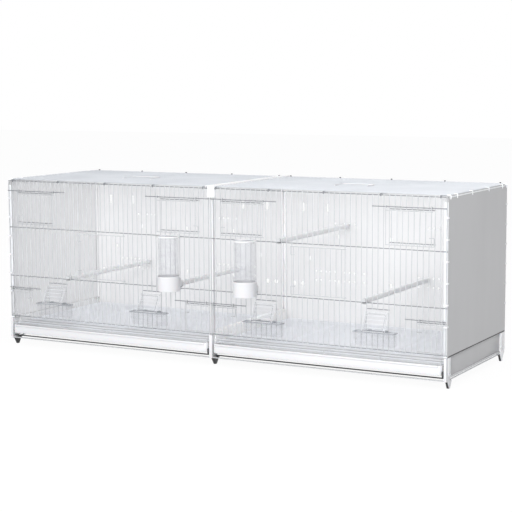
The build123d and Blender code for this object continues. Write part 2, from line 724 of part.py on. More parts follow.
def trough(bay, gap):
    """The clear seed trough that hangs outside the mouth, with two tabs over the mouth's sill."""
    middle = (wire_x(bay, gap.first) + wire_x(bay, gap.last)) / 2
    back = upright_face_y - RUN_CLEAR
    top = gap.low + WIRE / 2 + RUN_CLEAR
    half = TROUGH_WIDTH / 2
    profile = [(back, top), (back - TROUGH_DEPTH, top), (back - TROUGH_DEPTH, top - TROUGH_HEIGHT / 2),
               (back - TROUGH_FLOOR_DEPTH, top - TROUGH_HEIGHT), (back, top - TROUGH_HEIGHT)]
    side = Plane(origin=point(middle - half, 0, 0), x_dir=(0, 1, 0), z_dir=(1, 0, 0))
    outline = side * make_face(Polyline(*[(y, z) for y, z in profile], close=True))
    body = extrude(outline, TROUGH_WIDTH)
    inner_side = side.offset(TROUGH_WALL)
    inner = offset(make_face(Polyline(*[(y, z) for y, z in profile], close=True)), -TROUGH_WALL, kind=Kind.INTERSECTION)
    body -= extrude(inner_side * inner, TROUGH_WIDTH - 2 * TROUGH_WALL)
    well = block((middle - half + TROUGH_WALL, middle + half - TROUGH_WALL),
                 (back - TROUGH_DEPTH + TROUGH_WALL, back - TROUGH_WALL), (top - 2 * TROUGH_WALL, top + CUT_OVERRUN))
    body -= well
    rim = block((middle - half - TROUGH_RIM, middle + half + TROUGH_RIM),
                (back - TROUGH_DEPTH - TROUGH_RIM, back), (top - TROUGH_WALL, top))
    rim -= block((middle - half + TROUGH_WALL, middle + half - TROUGH_WALL),
                 (back - TROUGH_DEPTH + TROUGH_WALL, back - TROUGH_WALL), (top - 2 * TROUGH_WALL, top + CUT_OVERRUN))
    body += rim
    for sign in (-1, 1):
        x = middle + sign * (wire_x(bay, gap.last) - middle - WIRE_PITCH / 2)
        reach = (back - TROUGH_WALL, back + FEEDER_TAB_REACH)
        body += block((x - FEEDER_TAB_WIDTH / 2, x + FEEDER_TAB_WIDTH / 2), reach, (top, top + TROUGH_WALL))
    return body


def hood(bay, gap):
    """The clear ribbed hood that slopes from the mouth's head down to the trough's front rim."""
    left, right = wire_x(bay, gap.first) - HOOD_SIDE_OVERLAP, wire_x(bay, gap.last) + HOOD_SIDE_OVERLAP
    back = upright_face_y - RUN_CLEAR
    low = gap.low + WIRE / 2 + RUN_CLEAR
    high = low + HOOD_HEIGHT
    front = back - TROUGH_DEPTH
    start = low - TROUGH_WALL
    side = Plane(origin=point(left, 0, 0), x_dir=(0, 1, 0), z_dir=(1, 0, 0))
    outline = Polyline((back, low), (front, low), (front, low + HOOD_RIB), (back - HOOD_TOP_DEPTH, high),
                       (back, high), close=True)
    face = make_face(outline)
    body = extrude(side * face, right - left)
    inner = offset(face, -TROUGH_WALL, kind=Kind.INTERSECTION)
    body -= extrude(side.offset(TROUGH_WALL) * inner, right - left - 2 * TROUGH_WALL)
    mouth = (left + TROUGH_WALL, right - TROUGH_WALL)
    body -= block(mouth, (front + 2 * TROUGH_WALL, back + CUT_OVERRUN), (start, low + 2 * TROUGH_WALL))
    body -= block(mouth, (back - 2 * TROUGH_WALL, back + CUT_OVERRUN), (start, high - TROUGH_WALL))
    slope_y = (back - HOOD_TOP_DEPTH) - front
    slope_z = high - low - HOOD_RIB
    for rib in range(1, HOOD_RIBS + 1):
        share = rib / (HOOD_RIBS + 1)
        y, z = front + slope_y * share, low + HOOD_RIB + slope_z * share
        bar = block((left, right), (y - HOOD_RIB, y + HOOD_RIB / 2), (z - HOOD_RIB / 2, z + HOOD_RIB / 2))
        body += bar
    return body


# Drinkers


def round_bar(centre, radius, low, high):
    """An upright round bar of the drinker, drawn with a set number of sides."""
    section = Pos(centre[0], centre[1], low) * RegularPolygon(radius, DRINKER_SIDES)
    return extrude(section, high - low)


def tube_shell(centre, low, high):
    """The drinker's tube: open below, domed above."""
    shoulder, flat = high - TUBE_DOME, TUBE_R - TUBE_DOME
    shell = round_bar(centre, TUBE_R, low, high)
    shell = chamfer(shell.faces().sort_by(Axis.Z)[-1].edges(), TUBE_R - flat)
    hollow = round_bar(centre, TUBE_R - TUBE_WALL, low - CUT_OVERRUN, high - TUBE_WALL)
    return shell - chamfer(hollow.faces().sort_by(Axis.Z)[-1].edges(), TUBE_R - flat - TUBE_WALL / 2)


def drinker_cup(x, centre, low, high):
    """The cup that the tube stands in, with a spout that reaches in over the cross wire."""
    spout_low = lower_wire_z + WIRE / 2 + RUN_CLEAR
    spout_high = spout_low + SPOUT_HEIGHT
    half = SPOUT_WIDTH / 2
    inner = half - CUP_WALL
    cup = round_bar(centre, CUP_R, low, high)
    cup += block((x - half, x + half), (cup_y, SPOUT_REACH), (spout_low, spout_high))
    cup -= round_bar(centre, TUBE_R + RUN_CLEAR, high - TUBE_SEAT, high + CUT_OVERRUN)
    cup -= round_bar(centre, TUBE_R - 2 * TUBE_WALL, low + CUP_WALL, high)
    channel = (x - inner, x + inner)
    cup -= block(channel, (cup_y, SPOUT_REACH - CUP_WALL), (spout_low + CUP_WALL, spout_high - 2 * CUP_WALL))
    mouth = (upright_face_y - CUP_WALL, SPOUT_REACH - CUP_WALL)
    return cup - block(channel, mouth, (spout_low + CUP_WALL, spout_high + CUT_OVERRUN))


def drinker_ring(x, centre, low, high):
    """The ring round the tube's head, with two arms over the upper cross wire."""
    bore = TUBE_R + RUN_CLEAR
    ring = round_bar(centre, bore + RING_WALL, low, high)
    for sign in (-1, 1):
        arm = x + sign * WIRE_PITCH / 2
        span = (arm - RING_ARM_WIDTH / 2, arm + RING_ARM_WIDTH / 2)
        ring += block(span, (cup_y + TUBE_R, RING_ARM_REACH), (low, high))
    return ring - round_bar(centre, bore, low - CUT_OVERRUN, high + CUT_OVERRUN)


def drinker(bay, side):
    """A clear tube standing in a white cup, with a ring at its head."""
    x = wire_x(bay, DRINKER_PLACES[bay])
    centre = point(x, cup_y, 0)
    low = lower_wire_z - CUP_BELOW_WIRE
    high = low + CUP_HEIGHT
    ring_low = upper_wire_z + WIRE / 2 + RUN_CLEAR
    ring_high = ring_low + RING_HEIGHT
    keep(f"drinker_tube_{side}", tube_shell(centre, high - TUBE_SEAT + RUN_CLEAR, ring_high))
    keep(f"drinker_cup_{side}", drinker_cup(x, centre, low, high))
    keep(f"drinker_ring_{side}", drinker_ring(x, centre, ring_low, ring_high))


# Perches


def perch(bay, gap, upper):
    """A perch from front to back: its forked tip holds the cross wire and its pin stands in the back panel."""
    wire_z = upper_wire_z if upper else lower_wire_z
    x = gap_x(bay, gap)
    low, high = wire_z - PERCH_BELOW_WIRE, wire_z - PERCH_BELOW_WIRE + PERCH_HEIGHT
    front = upright_face_y - PERCH_TIP
    wall = CAGE_DEPTH - SHEET
    back = wall - PERCH_TRAVEL - 2 * SHEET
    section = Plane(origin=point(x, front, (low + high) / 2), x_dir=(1, 0, 0), z_dir=(0, 1, 0))
    outline = chamfer(Rectangle(PERCH_WIDTH, PERCH_HEIGHT).vertices(), PERCH_CHAMFER)
    body = extrude(section * outline, back - front)
    slot = WIRE / 2 + FORK_CLEAR
    half = PERCH_WIDTH / 2 + CUT_OVERRUN
    body -= block((x - half, x + half), (front - CUT_OVERRUN, FORK_CLEAR), (wire_z - slot, wire_z + slot))
    pin_z = wire_z + PERCH_PIN_RISE
    pin = wire((x, back - PERCH_PIN, pin_z), (x, CAGE_DEPTH, pin_z), PERCH_PIN)
    return body + pin


# Clips and handles


def grille_clips():
    """The small dark clips that hold the top grilles to the front grilles and the back panels."""
    for bay in (0, 1):
        for x in cross_wire_places(bay):
            span = (x - CLIP_WIDTH / 2, x + CLIP_WIDTH / 2)
            high = panel_top_z + CLIP_THICK
            for face, inner, outward in ((upright_face_y, CLIP_REACH, -1), (CAGE_DEPTH, CAGE_DEPTH - CLIP_REACH, 1)):
                outer = face + outward * CLIP_THICK
                strap = block(span, (inner, outer), (panel_top_z, high))
                strap += block(span, (face, outer), (top_z - CLIP_DROP, high))
                keep("grille_clips", strap)


def edge_clips():
    """The small clips that tie the grille and the back to the edges of the end panels."""
    for side in (-1, 1):
        outer = side * (bay_width + EDGE_CLIP_THICK)
        inner = side * (bay_width - EDGE_CLIP_REACH)
        for count in range(EDGE_CLIP_COUNT):
            z = top_z - EDGE_CLIP_FIRST - count * EDGE_CLIP_SPACING
            z_span = (z - EDGE_CLIP_HEIGHT / 2, z + EDGE_CLIP_HEIGHT / 2)
            for face, outward in ((upright_face_y, -1), (CAGE_DEPTH, 1)):
                tip = face + outward * EDGE_CLIP_THICK
                turn = face - outward * EDGE_CLIP_REACH
                clip = block((inner, outer), (face, tip), z_span)
                clip += block((side * bay_width, outer), (turn, tip), z_span)
                keep("edge_clips", clip)


def handle(bay):
    """A folding wire handle lying on the top, turning on one of the long top wires."""
    middle = bay_lefts[bay] + bay_width / 2
    half = HANDLE_WIDTH / 2
    y = top_wire_first + HANDLE_ROW_COUNT * WIRE_PITCH
    axis_z = panel_top_z + WIRE / 2
    z = axis_z + eye_in + WIRE / 2
    bail = bent_wire([(middle - half, y, z), (middle - half, y + HANDLE_REACH, z),
                      (middle + half, y + HANDLE_REACH, z), (middle + half, y, z)], (0, 0, 1))
    for sign in (-1, 1):
        bail += eye((middle + sign * half, y, axis_z), (1, 0, 0), (0, 0, 1))
    return bail


# Assembly


def build():
    for bay, side in ((0, "left"), (1, "right")):
        sign = -1 if bay == 0 else 1
        front_grille(bay, f"front_grille_{side}")
        top_grille(bay, f"top_grille_{side}")
        keep(f"back_panel_{side}", back_panel(bay))
        keep(f"end_panel_{side}", end_panel(sign))
        keep(f"skirt_{side}", skirt(sign))
        doors(bay, side)
        keep(f"tray_{side}", tray(bay))
        floor_grid(bay, f"floor_grid_{side}")
        for gap, place in zip(feeder_openings(), ("a", "b")):
            keep(f"feeder_trough_{side}_{place}", trough(bay, gap))
            keep(f"feeder_hood_{side}_{place}", hood(bay, gap))
        drinker(bay, side)
        keep(f"handle_{side}", handle(bay))
    keep("divider_rail_front", divider_rail(False))
    keep("divider_rail_rear", divider_rail(True))
    keep("divider_sill", divider_sill())
    keep("top_channel", top_channel())
    base()
    for number, place in enumerate(PERCH_PLACES, 1):
        keep(f"perch_{number}", perch(*place))
    grille_clips()
    edge_clips()


build()
os.makedirs("parts", exist_ok=True)
for node_name, solids in nodes.items():
    pieces = [solid for shape in solids for solid in shape.solids()]
    export_step(Compound(children=pieces), f"parts/{node_name}.step")
print(len(nodes), "nodes,", sum(len(s) for s in nodes.values()), "pieces")
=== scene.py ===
"""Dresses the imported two-bay breeding cage: round wires, folded sheet, moulded plastic, light and camera."""

import json
import logging
import math
from collections.abc import Sequence
from dataclasses import dataclass, field
from enum import Enum
from typing import TypeAlias

import bmesh
import bpy
from mathutils import Matrix, Vector


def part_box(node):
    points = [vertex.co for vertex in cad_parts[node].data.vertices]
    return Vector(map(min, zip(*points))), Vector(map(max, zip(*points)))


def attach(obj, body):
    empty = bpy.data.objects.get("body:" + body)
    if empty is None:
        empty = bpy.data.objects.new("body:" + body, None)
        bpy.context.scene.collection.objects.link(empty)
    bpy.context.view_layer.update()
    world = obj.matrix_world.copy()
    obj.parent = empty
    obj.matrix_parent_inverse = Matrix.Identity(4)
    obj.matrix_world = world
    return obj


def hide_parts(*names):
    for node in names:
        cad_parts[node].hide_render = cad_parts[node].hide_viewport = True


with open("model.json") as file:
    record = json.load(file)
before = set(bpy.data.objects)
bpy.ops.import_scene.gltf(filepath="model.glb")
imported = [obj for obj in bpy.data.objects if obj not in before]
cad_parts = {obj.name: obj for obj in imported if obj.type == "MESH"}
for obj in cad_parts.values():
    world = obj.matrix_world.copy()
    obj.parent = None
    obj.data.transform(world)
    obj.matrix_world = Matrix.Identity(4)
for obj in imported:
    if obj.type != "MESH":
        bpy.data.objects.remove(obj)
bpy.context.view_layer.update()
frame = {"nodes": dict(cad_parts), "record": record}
LOG = logging.getLogger("cage")
MM = 0.001

CREASE = math.radians(35.0)  # an edge that turns more is shown hard
STRAIGHT = math.radians(175.0)  # a flatter corner of a wire isn't bent
MERGE = 0.001  # points nearer than this, in millimetres, become one
BEND_SHARE = 0.48  # the most of a straight that one bend takes up
END_DOME, END_TIP = 0.35, 0.6  # a wire's rounded end, as shares of its radius
BEAD = ((-0.64, 0.45), (-0.32, 0.9), (0.32, 0.9), (0.64, 0.45))  # a weld's rings: place and radius
LEAST_RADIUS = 0.02
SLOT_CORNER = 0.3

Pair = tuple[float, float]
Point = tuple[float, float, float]
Outline = list[Pair]
Level = tuple[float, float, float, float, float, float]
Value: TypeAlias = "float | Socket"


# Shaders


class Socket:
    """A node's output that can be used in an expression, so that maths on it adds Math nodes."""

    def __init__(self, shader: "Shader", out: bpy.types.NodeSocket) -> None:
        """Keeps the shader that owns the socket.

        Args:
            shader: The material being built.
            out: The output socket.
        """
        self.shader = shader
        self.out = out

    def _math(self, operation: str, first: Value, second: Value) -> "Socket":
        """Adds one Math node and returns its output."""
        return self.shader.node("ShaderNodeMath", {"operation": operation}, {0: first, 1: second})

    def __add__(self, other: Value) -> "Socket":
        """self + other."""
        return self._math("ADD", self, other)

    def __radd__(self, other: Value) -> "Socket":
        """other + self."""
        return self._math("ADD", other, self)

    def __sub__(self, other: Value) -> "Socket":
        """self - other."""
        return self._math("SUBTRACT", self, other)

    def __mul__(self, other: Value) -> "Socket":
        """self * other."""
        return self._math("MULTIPLY", self, other)

    def __rmul__(self, other: Value) -> "Socket":
        """other * self."""
        return self._math("MULTIPLY", other, self)


class Shader:
    """Builds the node tree of one material or world."""

    def __init__(self, owner: bpy.types.Material | bpy.types.World) -> None:
        """Empties the owner's tree.

        Args:
            owner: The material or world that is built.
        """
        self.owner = owner
        owner.use_nodes = True
        self.tree = owner.node_tree
        self.tree.nodes.clear()

    def node(self, kind: str, settings: dict[str, object] | None = None,
             values: dict[object, object] | None = None, output: int | str = 0) -> Socket:
        """Adds one node, with its settings first and then its sockets.

        Args:
            kind: The node's type.
            settings: Properties of the node; "stops" holds a ramp's places and greys.
            values: A number, colour, Socket or list for each input, by name or place.
            output: The output to return.

        Returns:
            The chosen output.
        """
        made = self.tree.nodes.new(kind)
        for key, setting in (settings or {}).items():
            if key == "stops":
                self._stops(made.color_ramp, setting)
            else:
                setattr(made, key, setting)
        for key, value in (values or {}).items():
            if isinstance(value, Socket):
                self.tree.links.new(value.out, made.inputs[key])
            else:
                made.inputs[key].default_value = value
        return Socket(self, made.outputs[output]) if made.outputs else Socket(self, None)

    @staticmethod
    def _stops(ramp: bpy.types.ColorRamp, stops: list[Pair]) -> None:
        """Sets a ramp's places and greys.

        Args:
            ramp: The ramp.
            stops: Place and grey of each stop.
        """
        while len(ramp.elements) < len(stops):
            ramp.elements.new(1.0)
        for element, (place, grey) in zip(ramp.elements, stops):
            element.position = place
            element.color = (grey, grey, grey, 1.0)

    def noise(self, scale: float, detail: float = 2.0, stretch: Point = (1, 1, 1),
              roughness: float = 0.5) -> Socket:
        """Noise over the surface.

        Args:
            scale: Cells in a metre.
            detail: Octaves.
            stretch: How much more often it changes along each axis.
            roughness: How strong the fine octaves are.

        Returns:
            A value of about 0 to 1.
        """
        point = self.node("ShaderNodeTexCoord", output="Object")
        where = self.node("ShaderNodeMapping", {}, {"Vector": point, "Scale": stretch})
        values = {"Vector": where, "Scale": scale, "Detail": detail, "Roughness": roughness}
        return self.node("ShaderNodeTexNoise", {}, values)

    def ramp(self, value: Socket, stops: list[Pair]) -> Socket:
        """A value sent through a grey ramp."""
        return self.node("ShaderNodeValToRGB", {"stops": stops}, {"Fac": value})

    def blend(self, amount: Value, first: object, second: object) -> Socket:
        """A colour between two colours.

        Args:
            amount: 0 for the first, 1 for the second.
            first: A colour or Socket.
            second: A colour or Socket.

        Returns:
            The mixed colour.
        """
        values = {"Factor": amount, 6: first, 7: second}
        return self.node("ShaderNodeMix", {"data_type": "RGBA"}, values, output=2)

    def bump(self, height: Socket, depth: float) -> Socket:
        """A Bump node's normal for a height in units of depth metres."""
        return self.node("ShaderNodeBump", {}, {"Height": height, "Distance": depth})

    def surface(self, values: dict[object, object]) -> bpy.types.Material:
        """Closes the material with one Principled shader.

        Args:
            values: The shader's inputs.

        Returns:
            The material.
        """
        shader = self.node("ShaderNodeBsdfPrincipled", {}, values)
        self.node("ShaderNodeOutputMaterial", {}, {"Surface": shader})
        return self.owner


Colour = tuple[float, float, float, float]
WHITE: Colour = (1, 1, 1, 1)


@dataclass(frozen=True)
class PowderCoat:
    """Powder coat on wire or sheet, with faint clouds and orange peel."""

    name: str
    colour: Colour
    shade: Colour
    peel: float = 0.00003
    grain: Point = (1.0, 1.0, 1.0)
    roughness: float = 0.38
    cloud_scale: float = 9.0
    cloud_edges: Pair = (0.35, 0.7)
    cloud_effect: float = 0.08
    peel_scale: float = 700.0
    peel_effect: float = 0.06
    coat: float = 0.25
    coat_roughness: float = 0.2

    def make(self) -> bpy.types.Material:
        """Builds the material.

        Returns:
            The material.
        """
        shader = Shader(bpy.data.materials.new(self.name))
        cloud = shader.noise(self.cloud_scale, 3.0, self.grain)
        peel = shader.noise(self.peel_scale)
        start, end = self.cloud_edges
        tint = shader.blend(shader.ramp(cloud, [(start, 0.0), (end, 1.0)]), self.colour, self.shade)
        rough = self.roughness + self.cloud_effect * (cloud - 0.5) + self.peel_effect * (peel - 0.5)
        return shader.surface({"Base Color": tint, "Roughness": rough, "Coat Weight": self.coat,
                               "Coat Roughness": self.coat_roughness, "Normal": shader.bump(peel, self.peel)})


@dataclass(frozen=True)
class MouldedPlastic:
    """Opaque moulded plastic: a satin skin with fine moulding texture and faint flow marks."""

    name: str
    colour: Colour
    shade: Colour
    roughness: float
    texture: float = 0.00004
    flow_scale: float = 14.0
    flow_grain: Point = (1.0, 0.4, 1.0)
    flow_effect: float = 0.1
    skin_scale: float = 1600.0
    subsurface: float = 0.05
    subsurface_depth: float = 0.004

    def make(self) -> bpy.types.Material:
        """Builds the material.

        Returns:
            The material.
        """
        shader = Shader(bpy.data.materials.new(self.name))
        flow = shader.noise(self.flow_scale, 2.0, self.flow_grain)
        skin = shader.noise(self.skin_scale, 1.0)
        rough = self.roughness + self.flow_effect * (flow - 0.5)
        return shader.surface({"Base Color": shader.blend(flow, self.colour, self.shade), "Roughness": rough,
                               "Subsurface Weight": self.subsurface,
                               "Subsurface Scale": self.subsurface_depth,
                               "Normal": shader.bump(skin, self.texture)})


@dataclass(frozen=True)
class ThinPlastic:
    """Thin clear plastic: mostly see-through, with faint cloudy scuffs that cover more."""

    name: str
    colour: Colour
    cover: float
    scuffed: float
    roughness: float = 0.18
    scuff_scale: float = 38.0
    scuff_grain: Point = (1.0, 1.0, 4.0)
    scuff_roughness: float = 0.65
    scuff_edges: Pair = (0.4, 0.8)
    scuff_effect: float = 0.15
    scuff_depth: float = 0.00003
    refraction: float = 1.45

    def make(self) -> bpy.types.Material:
        """Builds the material.

        Returns:
            The material.
        """
        shader = Shader(bpy.data.materials.new(self.name))
        scuff = shader.noise(self.scuff_scale, 4.0, self.scuff_grain, self.scuff_roughness)
        start, end = self.scuff_edges
        cover = shader.ramp(scuff, [(start, self.cover), (end, self.scuffed)])
        rough = self.roughness + self.scuff_effect * (scuff - 0.5)
        return shader.surface({"Base Color": self.colour, "Roughness": rough, "Alpha": cover,
                               "IOR": self.refraction, "Normal": shader.bump(scuff, self.scuff_depth)})


class Finish(Enum):
    """The finishes of the cage's pieces, each made once."""

    # The wire coats are one white powder coat at different greys; this one is greyed as painted shade of the
    # thin wires.
    WIRE = PowderCoat("wire_coat", (0.54, 0.55, 0.565, 1), (0.48, 0.49, 0.505, 1))
    # A much darker copy of the white wire coat: painted shade on the cross wires behind the uprights and on
    # the top's front clips.
    CROSS = PowderCoat("shaded_wire_coat", (0.20, 0.21, 0.225, 1), (0.16, 0.17, 0.185, 1))
    # Greyed as painted shade of the top's wires.
    TOP = PowderCoat("top_wire_coat", (0.59, 0.61, 0.64, 1), (0.53, 0.55, 0.58, 1))
    GRID = PowderCoat("grid_coat", (0.88, 0.90, 0.94, 1), (0.84, 0.86, 0.90, 1))
    SHEET = PowderCoat("sheet_coat", (0.80, 0.80, 0.805, 1), (0.77, 0.77, 0.78, 1), 0.00005, (1, 1, 0.12))
    # A lighter copy of the panel paint: painted light on the end panels' inner faces and flanges and on the
    # skirts' inner faces, where shade falls.
    LINING = PowderCoat("painted_light_coat", (0.86, 0.86, 0.865, 1), (0.84, 0.84, 0.85, 1), 0.00005, (1, 1, 0.12))
    # A darker copy of the panel paint: painted shade on the end panels' outer faces and on the skirts.
    END = PowderCoat("shaded_end_coat", (0.46, 0.46, 0.467, 1), (0.43, 0.43, 0.438, 1), 0.00005, (1, 1, 0.3))
    RAIL = MouldedPlastic("rail_plastic", (0.70, 0.70, 0.71, 1), (0.66, 0.66, 0.68, 1), 0.35)
    TRAY = MouldedPlastic("tray_plastic", (0.70, 0.70, 0.71, 1), (0.66, 0.665, 0.68, 1), 0.4)
    # The white plastic a shade lighter; on the end panels' front flanges and the front divider rail it is
    # painted light.
    CUP = MouldedPlastic("cup_plastic", (0.80, 0.80, 0.81, 1), (0.76, 0.765, 0.78, 1), 0.3)
    PERCH = MouldedPlastic("perch_plastic", (0.84, 0.845, 0.855, 1), (0.79, 0.795, 0.81, 1), 0.5, 0.0001)
    # Near-black plastic: real on the rear clips; painted shadow on the tray guides' strips and the end panels'
    # foot strips; partly painted shade on the foot pads.
    DARK = MouldedPlastic("dark_plastic", (0.012, 0.012, 0.014, 1), (0.02, 0.02, 0.022, 1), 0.45)
    # The lightest copy of the white plastic: painted light on the rear legs, the rear divider rail and sill,
    # the top channel, the divider web and the top's hooks, and a painted highlight along the end panels' top
    # folds.
    BRIGHT = MouldedPlastic("lit_plastic", (0.95, 0.95, 0.955, 1), (0.93, 0.93, 0.94, 1), 0.35)
    CLEAR = ThinPlastic("feeder_clear", (0.46, 0.47, 0.50, 1), 0.06, 0.12)
    # A whiter, less clear copy of the clear plastic: painted sheen on the hood's edges and ribs.
    CLEAR_EDGE = ThinPlastic("sheen_edge", (0.92, 0.94, 0.96, 1), 0.78, 0.9, 0.15)
    # A greyer, less clear copy of the clear plastic: painted shade on the trough's rim and the hood's frame.
    RIM = ThinPlastic("shaded_clear_plastic", (0.40, 0.42, 0.45, 1), 0.5, 0.66, 0.15)
    TUBE = ThinPlastic("tube_plastic", (0.58, 0.59, 0.62, 1), 0.13, 0.21, 0.2)

    def material(self) -> bpy.types.Material:
        """The finish's material, made at its first use."""
        found = bpy.data.materials.get(self.value.name)
        return found or self.value.make()


# The cage's driving sizes, in millimetres


def node_box(name: str) -> tuple[Vector, Vector]:
    """A solid's box in millimetres.

    Args:
        name: The node's name.

    Returns:
        The low and the high corner.
    """
    low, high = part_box(name)
    return Vector(low) / MM, Vector(high) / MM


@dataclass(frozen=True)
class Sizes:
    """The sizes that several pieces share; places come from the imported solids.

    A name that ends in _y is a depth behind the end panels' front face.
    """

    wire: float = 2.0
    base_wire: float = 3.0
    pitch: float = 13.5
    gaps: int = 44
    end_inset: float = 3.0
    bay: float = gaps * pitch + 2 * end_inset
    depth: float = 383.0
    sheet: float = 1.2
    cross_spacing: float = 141.5
    lower_tier: float = 105.0
    middle_tier: float = 125.0
    seam: float = 0.3
    run_clear: float = 0.3
    eye_ring: float = 2.71
    bend: float = 1.6
    weld: float = 0.95
    cross_y: float = -wire / 2
    upright_y: float = -wire * 1.5
    face_y: float = -wire * 2
    hinge_y: float = face_y - wire / 2
    door_cross_y: float = hinge_y - 0.5
    door_upright_y: float = door_cross_y - wire
    front: float = field(default_factory=lambda: node_box("end_panel_left")[0].y)
    grille: float = field(default_factory=lambda: node_box("front_grille_left")[0].z)
    top: float = field(default_factory=lambda: node_box("front_grille_left")[1].z)
    panel_top: float = field(default_factory=lambda: node_box("end_panel_left")[1].z)

    @property
    def sill(self) -> float:
        """Height of the lowest cross wire."""
        return self.grille + self.wire / 2

    @property
    def lower(self) -> float:
        """Height of the lower cross wire."""
        return self.sill + self.lower_tier

    @property
    def upper(self) -> float:
        """Height of the upper cross wire."""
        return self.lower + self.middle_tier


SIZES = Sizes()


# Mesh building


class Builder:
    """Collects the faces of one piece, in millimetres, and turns them into a dressed object."""

    def __init__(self) -> None:
        """Starts with no faces."""
        self.mesh = bmesh.new()

    def loops(self, rings: list[list[Vector]], cap_first: bool = True, cap_last: bool = True) -> None:
        """Skins a row of closed rings that all have the same number of points.

        Args:
            rings: The rings in order.
            cap_first: Closes the first ring.
            cap_last: Closes the last ring.
        """
        made = [[self.mesh.verts.new(point) for point in ring] for ring in rings]
        count = len(made[0])
        for near, far in zip(made, made[1:]):
            for place in range(count):
                after = (place + 1) % count
                self.mesh.faces.new((near[place], near[after], far[after], far[place]))
        if cap_first:
            self.mesh.faces.new(tuple(reversed(made[0])))
        if cap_last:
            self.mesh.faces.new(tuple(made[-1]))

    def box(self, low: Point, high: Point) -> None:
        """A block between two corners, given by their depth behind the front face."""
        corners = [(low[0], low[1]), (high[0], low[1]), (high[0], high[1]), (low[0], high[1])]
        self.loops([[at(x, y, z) for x, y in corners] for z in (low[2], high[2])])

    def prism(self, outline: list[Pair], x_span: Pair) -> None:
        """A bar with one outline, drawn in depth and height, between two places along the cage."""
        self.loops([[at(x, y, z) for y, z in outline] for x in x_span])

    def cup(self, levels: list[Level]) -> None:
        """Skins rounded rectangles seen from above.

        Args:
            levels: Low x, high x, low depth, high depth, corner radius and height of each.
        """
        self.loops([[at(x, y, z) for x, y in rounded_box((left, near), (right, far), [radius] * 4)]
                    for left, right, near, far, radius, z in levels])

    def wire(self, *route: Point, thick: float = SIZES.wire, bend: float = SIZES.bend,
             sides: int = 10) -> None:
        """A round wire through places given by their depth behind the front face.

        Args:
            route: The corners of the route.
            thick: The wire's thickness.
            bend: The radius of each bend's middle line.
            sides: Flats round the wire.
        """
        line = rounded_route([at(*place) for place in route], bend)
        radius = thick / 2
        first = (line[1] - line[0]).normalized()
        side = first.orthogonal().normalized()
        rings = []
        last = len(line) - 1
        for place, point in enumerate(line):
            before = (point - line[place - 1]).normalized() if place else first
            after = (line[place + 1] - point).normalized() if place < last else before
            along = (before + after).normalized()
            side = (side - along * side.dot(along)).normalized()
            across = along.cross(side)
            dome, tip = radius * END_DOME, (0.0, radius * END_TIP)
            stations = [(0.0, radius)]
            if place == 0:
                stations = [tip, (dome, radius)]
            elif place == last:
                stations = [(-dome, radius), tip]
            rings += [circle_round(point + along * shift, side, across, size, sides)
                      for shift, size in stations]
        self.loops(rings)

    def eye(self, centre: Point, axis: Point, steps: int = 20, sides: int = 10) -> None:
        """The closed eye of a wire that turns on another wire.

        Args:
            centre: The middle of the eye, by its depth behind the front face.
            axis: The direction of the wire that it turns on.
            steps: Steps round the ring.
            sides: Flats round the wire.
        """
        middle, through = at(*centre), Vector(axis).normalized()
        side = through.orthogonal().normalized()
        rings = [circle_round(point, (point - middle).normalized(), through, SIZES.wire / 2, sides)
                 for point in circle_round(middle, side, through.cross(side), SIZES.eye_ring, steps)]
        self.loops(rings + [rings[0]], False, False)

    def weld(self, centre: Point, sides: int = 8) -> None:
        """The small bead where two wires are welded.

        Args:
            centre: The middle of the bead, by its depth behind the front face.
            sides: Flats round it.
        """
        middle = at(*centre)
        across, along, up = Matrix.Identity(3)
        self.loops([circle_round(middle + along * SIZES.weld * height, across, up, SIZES.weld * share, sides)
                    for height, share in BEAD])

    def turned(self, centre: Point, outline: Outline, axis: Point = (0, 0, 1), steps: int = 72) -> None:
        """A turned piece, closed where its outline starts and ends on the axis.

        Args:
            centre: A point on the axis, by its depth behind the front face.
            outline: Radius and place along the axis of each step.
            axis: The axis.
            steps: Steps round it.
        """
        middle, through = at(*centre), Vector(axis).normalized()
        side = through.orthogonal().normalized()
        across = through.cross(side)
        self.loops([circle_round(middle + through * along, side, across, max(radius, MERGE), steps)
                    for radius, along in outline], outline[0][0] < MERGE, outline[-1][0] < MERGE)

    def sheet(self, outline: Outline, holes: list[Outline], thick: float, depth: float) -> None:
        """An upright flat sheet with holes.

        Args:
            outline: The sheet's edge, along the cage and up.
            holes: The outline of each hole.
            thick: The sheet's thickness.
            depth: The depth of its middle behind the front face.
        """
        curve = bpy.data.curves.new("drawing", "CURVE")
        curve.dimensions = "2D"
        curve.fill_mode = "BOTH"
        curve.extrude = thick / 2
        for loop in [outline] + holes:
            spline = curve.splines.new("POLY")
            spline.points.add(len(loop) - 1)
            for point, (x, y) in zip(spline.points, loop):
                point.co = (x, y, 0, 1)
            spline.use_cyclic_u = True
        holder = bpy.data.objects.new("drawing", curve)
        bpy.context.scene.collection.objects.link(holder)
        bpy.context.view_layer.update()
        data = bpy.data.meshes.new_from_object(holder.evaluated_get(bpy.context.evaluated_depsgraph_get()))
        bpy.data.objects.remove(holder)
        bpy.data.curves.remove(curve)
        data.transform(Matrix.Translation(at(0, depth, 0)) @ Matrix.Rotation(math.radians(90), 4, "X"))
        self.mesh.from_mesh(data)
        bpy.data.meshes.remove(data)

    def solid(self, name: str) -> None:
        """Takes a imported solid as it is, with its flat faces whole again.

        Args:
            name: The node's name.
        """
        node = frame["nodes"][name]
        data = node.data.copy()
        data.transform(Matrix.Scale(1 / MM, 4) @ node.matrix_world)
        self.mesh.from_mesh(data)
        bpy.data.meshes.remove(data)
        bmesh.ops.remove_doubles(self.mesh, verts=self.mesh.verts, dist=MERGE)
        bmesh.ops.dissolve_limit(self.mesh, angle_limit=math.radians(1), verts=self.mesh.verts,
                                 edges=self.mesh.edges)

